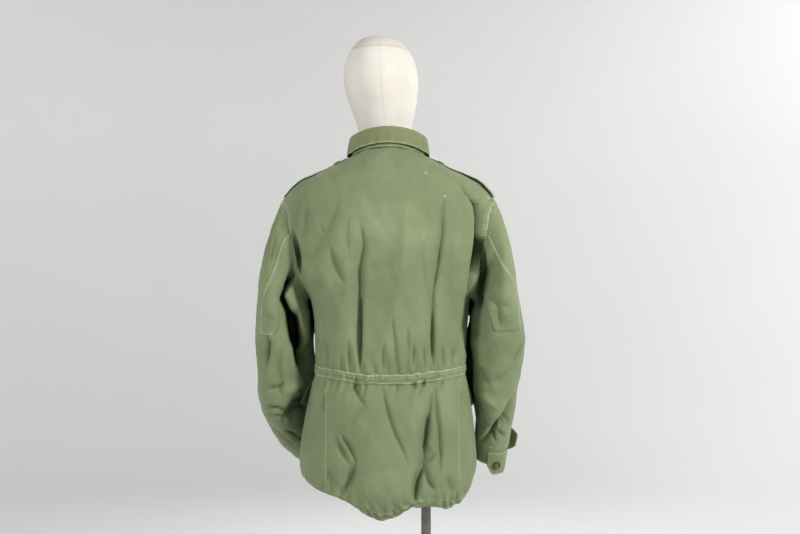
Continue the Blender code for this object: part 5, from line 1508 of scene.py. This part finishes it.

# ---------------------------------------------------------------------------------------------------
# Stitching. Rows of pale green cotton thread, one small spindle for each stitch, joined in a mesh for
# each piece of cloth, and the threads that hold the buttons.
# ---------------------------------------------------------------------------------------------------
# A stitch's length, the pitch of the stitches in a row, and their thickness.
STITCH, STITCH_PITCH, STITCH_THICK = 0.0028, 0.0050, 0.00095
# Other pitches and thicknesses: where a seam is sewn twice, at turned edges, and on the channel.
SEAM_THREAD = {"pitch": 0.0052, "thick": 0.0015}
EDGE_THREAD = {"thick": 0.0013}
CHANNEL_THREAD = {"pitch": 0.0058, "thick": 0.0012}
SPINDLE = [
    # along, across, up, as shares of the stitch's length and thickness
    (-0.5, 0, -0.2), (-0.2, -1, 0.2), (-0.2, 0, 1), (-0.2, 1, 0.2), (-0.2, 0, -0.4),
    (0.2, -1, 0.2), (0.2, 0, 1), (0.2, 1, 0.2), (0.2, 0, -0.4), (0.5, 0, -0.2),
]  # fmt: skip
SPINDLE_FACES = [
    (0, 1, 2), (0, 2, 3), (0, 3, 4), (0, 4, 1), (1, 5, 6, 2), (2, 6, 7, 3), (3, 7, 8, 4), (4, 8, 5, 1),
    (9, 6, 5), (9, 7, 6), (9, 8, 7), (9, 5, 8),
]  # fmt: skip


def thread_finish():
    """Cotton thread: pale green, a little uneven, with the twist of its plies as bump."""
    material, tree, shader = finish("pale_green_thread", {"Roughness": 0.75, "Sheen Weight": 0.2})
    uneven = noise(tree, places(tree), 60.0, 3.0)
    colour = ramp(tree, uneven, [(0.3, (0.40, 0.48, 0.31, 1)), (0.7, (0.64, 0.71, 0.51, 1))])
    bump = relief(tree, yarns(tree, places(tree), 700.0, "DIAGONAL"), 0.3, 0.0001)
    join(tree, shader, {"Base Color": colour, "Normal": bump})
    return material


def stitches(name, rows, long=STITCH):
    """Spindles along rows of points with normals, each row with its own pitch and thickness: each stitch's
    middle, direction and normal are read along its row, and one small solid is set into that frame."""
    middles, ahead, normals, sizes = [], [], [], []
    for points, up, pitch, thick in rows:
        run = runs(points[:, None], 0)[:, 0]
        spots = np.arange(pitch / 2, run[-1], pitch)
        for shift, line, store in ((0, points, middles), (0.0005, points, ahead), (0, up, normals)):
            store.append(np.stack([np.interp(spots + shift, run, line[:, k]) for k in range(3)], -1))
        sizes.append(np.full(len(spots), thick / 2))
    middle, up = np.concatenate(middles), unit(np.concatenate(normals))
    along = unit(np.concatenate(ahead) - middle + 1e-9)
    across = unit(np.cross(up, along))
    size = np.concatenate(sizes)
    shape = np.array(SPINDLE)[None] * np.stack([0 * size + long, size, size], -1)[:, None]
    frames = np.stack([along, across, np.cross(along, across)], 1)
    vertices = middle[:, None] + np.einsum("svk,skd->svd", shape, frames)
    first = len(SPINDLE) * np.arange(len(middle))[:, None]
    faces = []
    for face in SPINDLE_FACES:
        faces += (first + np.array(face)[None]).tolist()
    mesh = bpy.data.meshes.new(name)
    mesh.from_pydata(vertices.reshape(-1, 3), [], faces)
    mesh.polygons.foreach_set("use_smooth", [True] * len(faces))
    mesh.materials.append(thread)
    piece = bpy.data.objects.new(name, mesh)
    bpy.context.scene.collection.objects.link(piece)
    settle(piece, "olive_sateen")
    return piece


thread = thread_finish()
sewing = {}


def sew(name, grid, rows, columns, off=0.0, closed=False, flip=False, pitch=STITCH_PITCH, thick=STITCH_THICK):
    """Adds a row of stitches to what is sewn on a piece: points and normals read on a grid at rows and
    columns, just off its face, with their pitch and thickness."""
    points = read_grid(grid, rows, columns, closed)
    up = unit(read_grid(grid_normals(grid, closed=closed, flip=flip), rows, columns, closed))
    sewing.setdefault(name, []).append((points + up * (off + 0.1 * STITCH_THICK), up, pitch, thick))


def reached(lines, goal):
    """The fractional place at which each line of rising values reaches a goal."""
    return np.array([np.interp(goal, line, np.arange(float(len(line)))) for line in lines])


def edge_lines(grid, away, sides):
    """Rows and columns of a stitch line inside each named edge of a grid, a distance away from it."""
    rows, columns = grid.shape[0] - 1, grid.shape[1] - 1
    down = away / np.linalg.norm(grid[1:, columns // 2] - grid[:-1, columns // 2], axis=1).mean()
    over = away / np.linalg.norm(grid[rows // 2, 1:] - grid[rows // 2, :-1], axis=1).mean()
    upright = np.linspace(down if "n" in sides else 0, rows - down, 90)
    level = np.linspace(over, columns - over, 90)
    lines = {"w": (upright, over), "e": (upright, columns - over)}
    lines |= {"s": (rows - down, level), "n": (down, level)}
    return [lines[side] for side in sides]


# Hems: one row above the turned edge of the back and of each front.
for name, panel, low, high in (
    ("back", back, 0.5, back.shape[1] - 1.5),
    ("front_left", fronts["left"], 0.5, 96.5),
    ("front_right", fronts["right"], 0.5, 95.5),
):
    at = reached(runs(panel[:12], 0).T, HEM_STITCH)
    spread = np.linspace(low, high, 300)
    sew(name, panel, np.interp(spread, np.arange(len(at)), at), spread, **EDGE_THREAD)
# Waist channel: one row along its lower edge and two along its upper one.
for word, grid in channels.items():
    for row in (0.9, 8.2, 11.1):
        spread = np.linspace(0, grid.shape[1] - 1.0, 500)
        sew(f"waist_channel_{word}", grid, row, spread, CHANNEL_WALL, **CHANNEL_THREAD)
# Armholes, sewn twice; on the back it shows only along their upper half.
for name, panel, flip, above in (
    ("back", back, False, ARMHOLE_MIDDLE),
    ("back", back, True, ARMHOLE_MIDDLE),
    ("front_left", fronts["left"], True, ARMHOLE_LOW),
    ("front_right", fronts["right"], False, ARMHOLE_LOW),
):
    part = panel[(levels > above) & (levels < ARMHOLE_HIGH)]
    part = (part[:, ::-1] if flip else part)[:, :24]
    for away in (0.0055, 0.0115):
        sew(name, part, np.arange(float(len(part))), reached(runs(part, 1), away), flip=flip, **SEAM_THREAD)
# Upright seams of the back's skirt, one near each side.
for x, part in ((0.1286, back[:, :90]), (-0.1455, back[:, -30:])):
    rows = np.arange(row_of(0.5), row_of(5.9))
    across = read_grid(part, rows[:, None], np.arange(float(part.shape[1]))[None])[..., 0]
    sew("back", part, rows, reached(-across, -x), **SEAM_THREAD)
# Sleeves: gussets twice along their outer edge and the left one once along the lower one, then two rings
# round the cuff's edge, one at its upper end and two at the armhole.
for word, flip in (("left", True), ("right", False)):
    grid = gussets[word]
    lines = edge_lines(grid, 0.0022, "w") + edge_lines(grid, 0.0085, "w")
    for rows, columns in lines + edge_lines(grid, 0.0022, "s" if flip else ""):
        sew(f"gusset_{word}", grid, rows, columns, GUSSET_WALL, flip=flip, **SEAM_THREAD)
    spread = np.linspace(0, SLEEVE_COLUMNS, 500)
    for row in (arm_row(8) - 0.9, arm_row(8) - 3.0, arm_row(6.6), 0.5, 2.3):
        sew(f"sleeve_{word}", sleeves[word], row, spread, WALL, closed=True, flip=flip, **EDGE_THREAD)
# Trim: collar, epaulettes, storm flap, pocket flaps, tabs and straps, along their edges.
for name, grid, wall, flip, sides in (
    ("collar", collar[::-1], 0.0, True, "n"),
    ("epaulette_left", epaulettes["left"], TRIM_WALL, False, "wse"),
    ("epaulette_right", epaulettes["right"], TRIM_WALL, True, "wse"),
    ("storm_flap", flap, TRIM_WALL, False, "wsen"),
    ("pocket_flap_left", pocket_flaps["left"], TRIM_WALL, False, "wsen"),
    ("pocket_flap_right", pocket_flaps["right"], TRIM_WALL, True, "wsen"),
    ("cuff_tab_left", tabs["left"], TRIM_WALL, True, "wse"),
    ("cuff_tab_right", tabs["right"], TRIM_WALL, False, "wse"),
    ("cuff_strap_left", straps["left"], TRIM_WALL, False, "nse"),
    ("cuff_strap_right", straps["right"], TRIM_WALL, True, "nse"),
):
    for rows, columns in edge_lines(grid, 0.0035, sides):
        sew(name, grid, rows, columns, wall, flip=flip)
sew("collar", collar, 30.0, np.linspace(2, collar.shape[1] - 3, 400))
seams = {name: stitches(f"stitching_{name}", rows) for name, rows in sewing.items()}
# Buttons: two bars of thread through the holes of each.
bars = []
for centre, up in button_spots:
    for shift in (-BUTTON_HOLE, BUTTON_HOLE):
        ends = np.array([[-1.0, 0, 0], [1.0, 0, 0]]) * BUTTON_HOLE * 1.15 + [0, shift, BUTTON_T * 0.66]
        bars.append((centre + ends @ spun_frame(up), np.array([up, up]), 2 * BUTTON_HOLE * 1.1, 0.0009))
stitches("button_threads", bars, long=0.0052)

# ---------------------------------------------------------------------------------------------------
# Setting. A floor of pale paper that curves up into a wall all round. Soft square lights stand behind
# the jacket at both sides, above it and before it, four more light the wall, and the camera looks at
# its back from chest height.
# ---------------------------------------------------------------------------------------------------
PALE_GREY, PAPER_SHADE = (0.80, 0.80, 0.79, 1), (0.78, 0.78, 0.77, 1)
# Radius of the flat floor and of the wall, and the wall's height.
FLOOR_FLAT, FLOOR_RADIUS, WALL_HIGH = 4.0, 6.2, 6.5
LIGHTS = [
    # name, place, aim, size in metres, power in watts
    ("light_left", (1.55, 1.45, 1.75), (0.0, 0.0, 1.15), 0.5, 22),
    ("light_right", (-1.60, 1.25, 2.00), (0.0, 0.0, 1.20), 0.28, 43),
    ("light_above", (0.0, 0.9, 3.2), (0.0, 0.0, 1.2), 1.2, 6),
    ("light_front", (0.0, -2.6, 2.2), (0.0, 0.0, 1.1), 1.4, 26),
    ("wall_light_left", (3.4, -2.2, 3.6), (1.2, -6.2, 1.2), 2.0, 36),
    ("wall_light_right", (-3.4, -2.2, 3.6), (-1.2, -6.2, 1.2), 2.0, 124),
    ("wall_light_behind_left", (3.0, 1.8, 3.8), (4.6, 4.4, 1.0), 2.0, 34),
    ("wall_light_behind_right", (-3.0, 1.8, 3.8), (-4.6, 4.4, 1.0), 2.0, 34),
]


def studio_finish():
    """Matt pale studio paper with a faint unevenness."""
    material, tree, shader = finish("studio_paper", {"Roughness": 0.95, "Specular IOR Level": 0.1})
    soft = noise(tree, places(tree), 0.7, 2.0)
    join(tree, shader, {"Base Color": ramp(tree, soft, [(0.3, PAPER_SHADE), (0.7, PALE_GREY)])})
    return material


def bowl_grid():
    """A round floor that turns up into a wall: a profile of radius and height, turned about the axis."""
    bend = np.linspace(0, math.pi / 2, 24)
    curve = FLOOR_RADIUS - FLOOR_FLAT
    flat, upright = [0.001, FLOOR_FLAT * 0.5], [FLOOR_RADIUS, FLOOR_RADIUS]
    r = np.concatenate([flat, FLOOR_FLAT + curve * np.sin(bend), upright])
    z = np.concatenate([[0, 0], curve * (1 - np.cos(bend)), [(curve + WALL_HIGH) / 2, WALL_HIGH]])
    theta = np.linspace(0, 2 * math.pi, 96, endpoint=False)
    return np.stack([r[:, None] * np.cos(theta), r[:, None] * np.sin(theta), z[:, None] + 0 * theta], -1)


shell("studio_floor", bowl_grid(), studio_finish(), closed=True)
for name, place, aim, size, power in LIGHTS:
    lamp = bpy.data.lights.new(name, "AREA")
    lamp.size = size
    lamp.energy = power
    light = bpy.data.objects.new(name, lamp)
    light.location = place
    light.rotation_euler = (Vector(aim) - Vector(place)).to_track_quat("-Z", "Y").to_euler()
    bpy.context.scene.collection.objects.link(light)
world = bpy.data.worlds.new("studio_air")
world.use_nodes = True
air = world.node_tree.nodes["Background"]
air.inputs["Color"].default_value = (0.93, 0.96, 1.0, 1)
air.inputs["Strength"].default_value = 0.08
bpy.context.scene.world = world
lens = bpy.data.cameras.new("camera")
lens.lens = 46.05
lens.sensor_width = 36.0
camera = bpy.data.objects.new("camera", lens)
camera.location = (EYE_X, EYE_Y, EYE_Z)
camera.rotation_euler = (math.radians(90), 0, math.radians(180))
bpy.context.scene.collection.objects.link(camera)
bpy.context.scene.camera = camera
bpy.context.scene.view_settings.view_transform = "Standard"
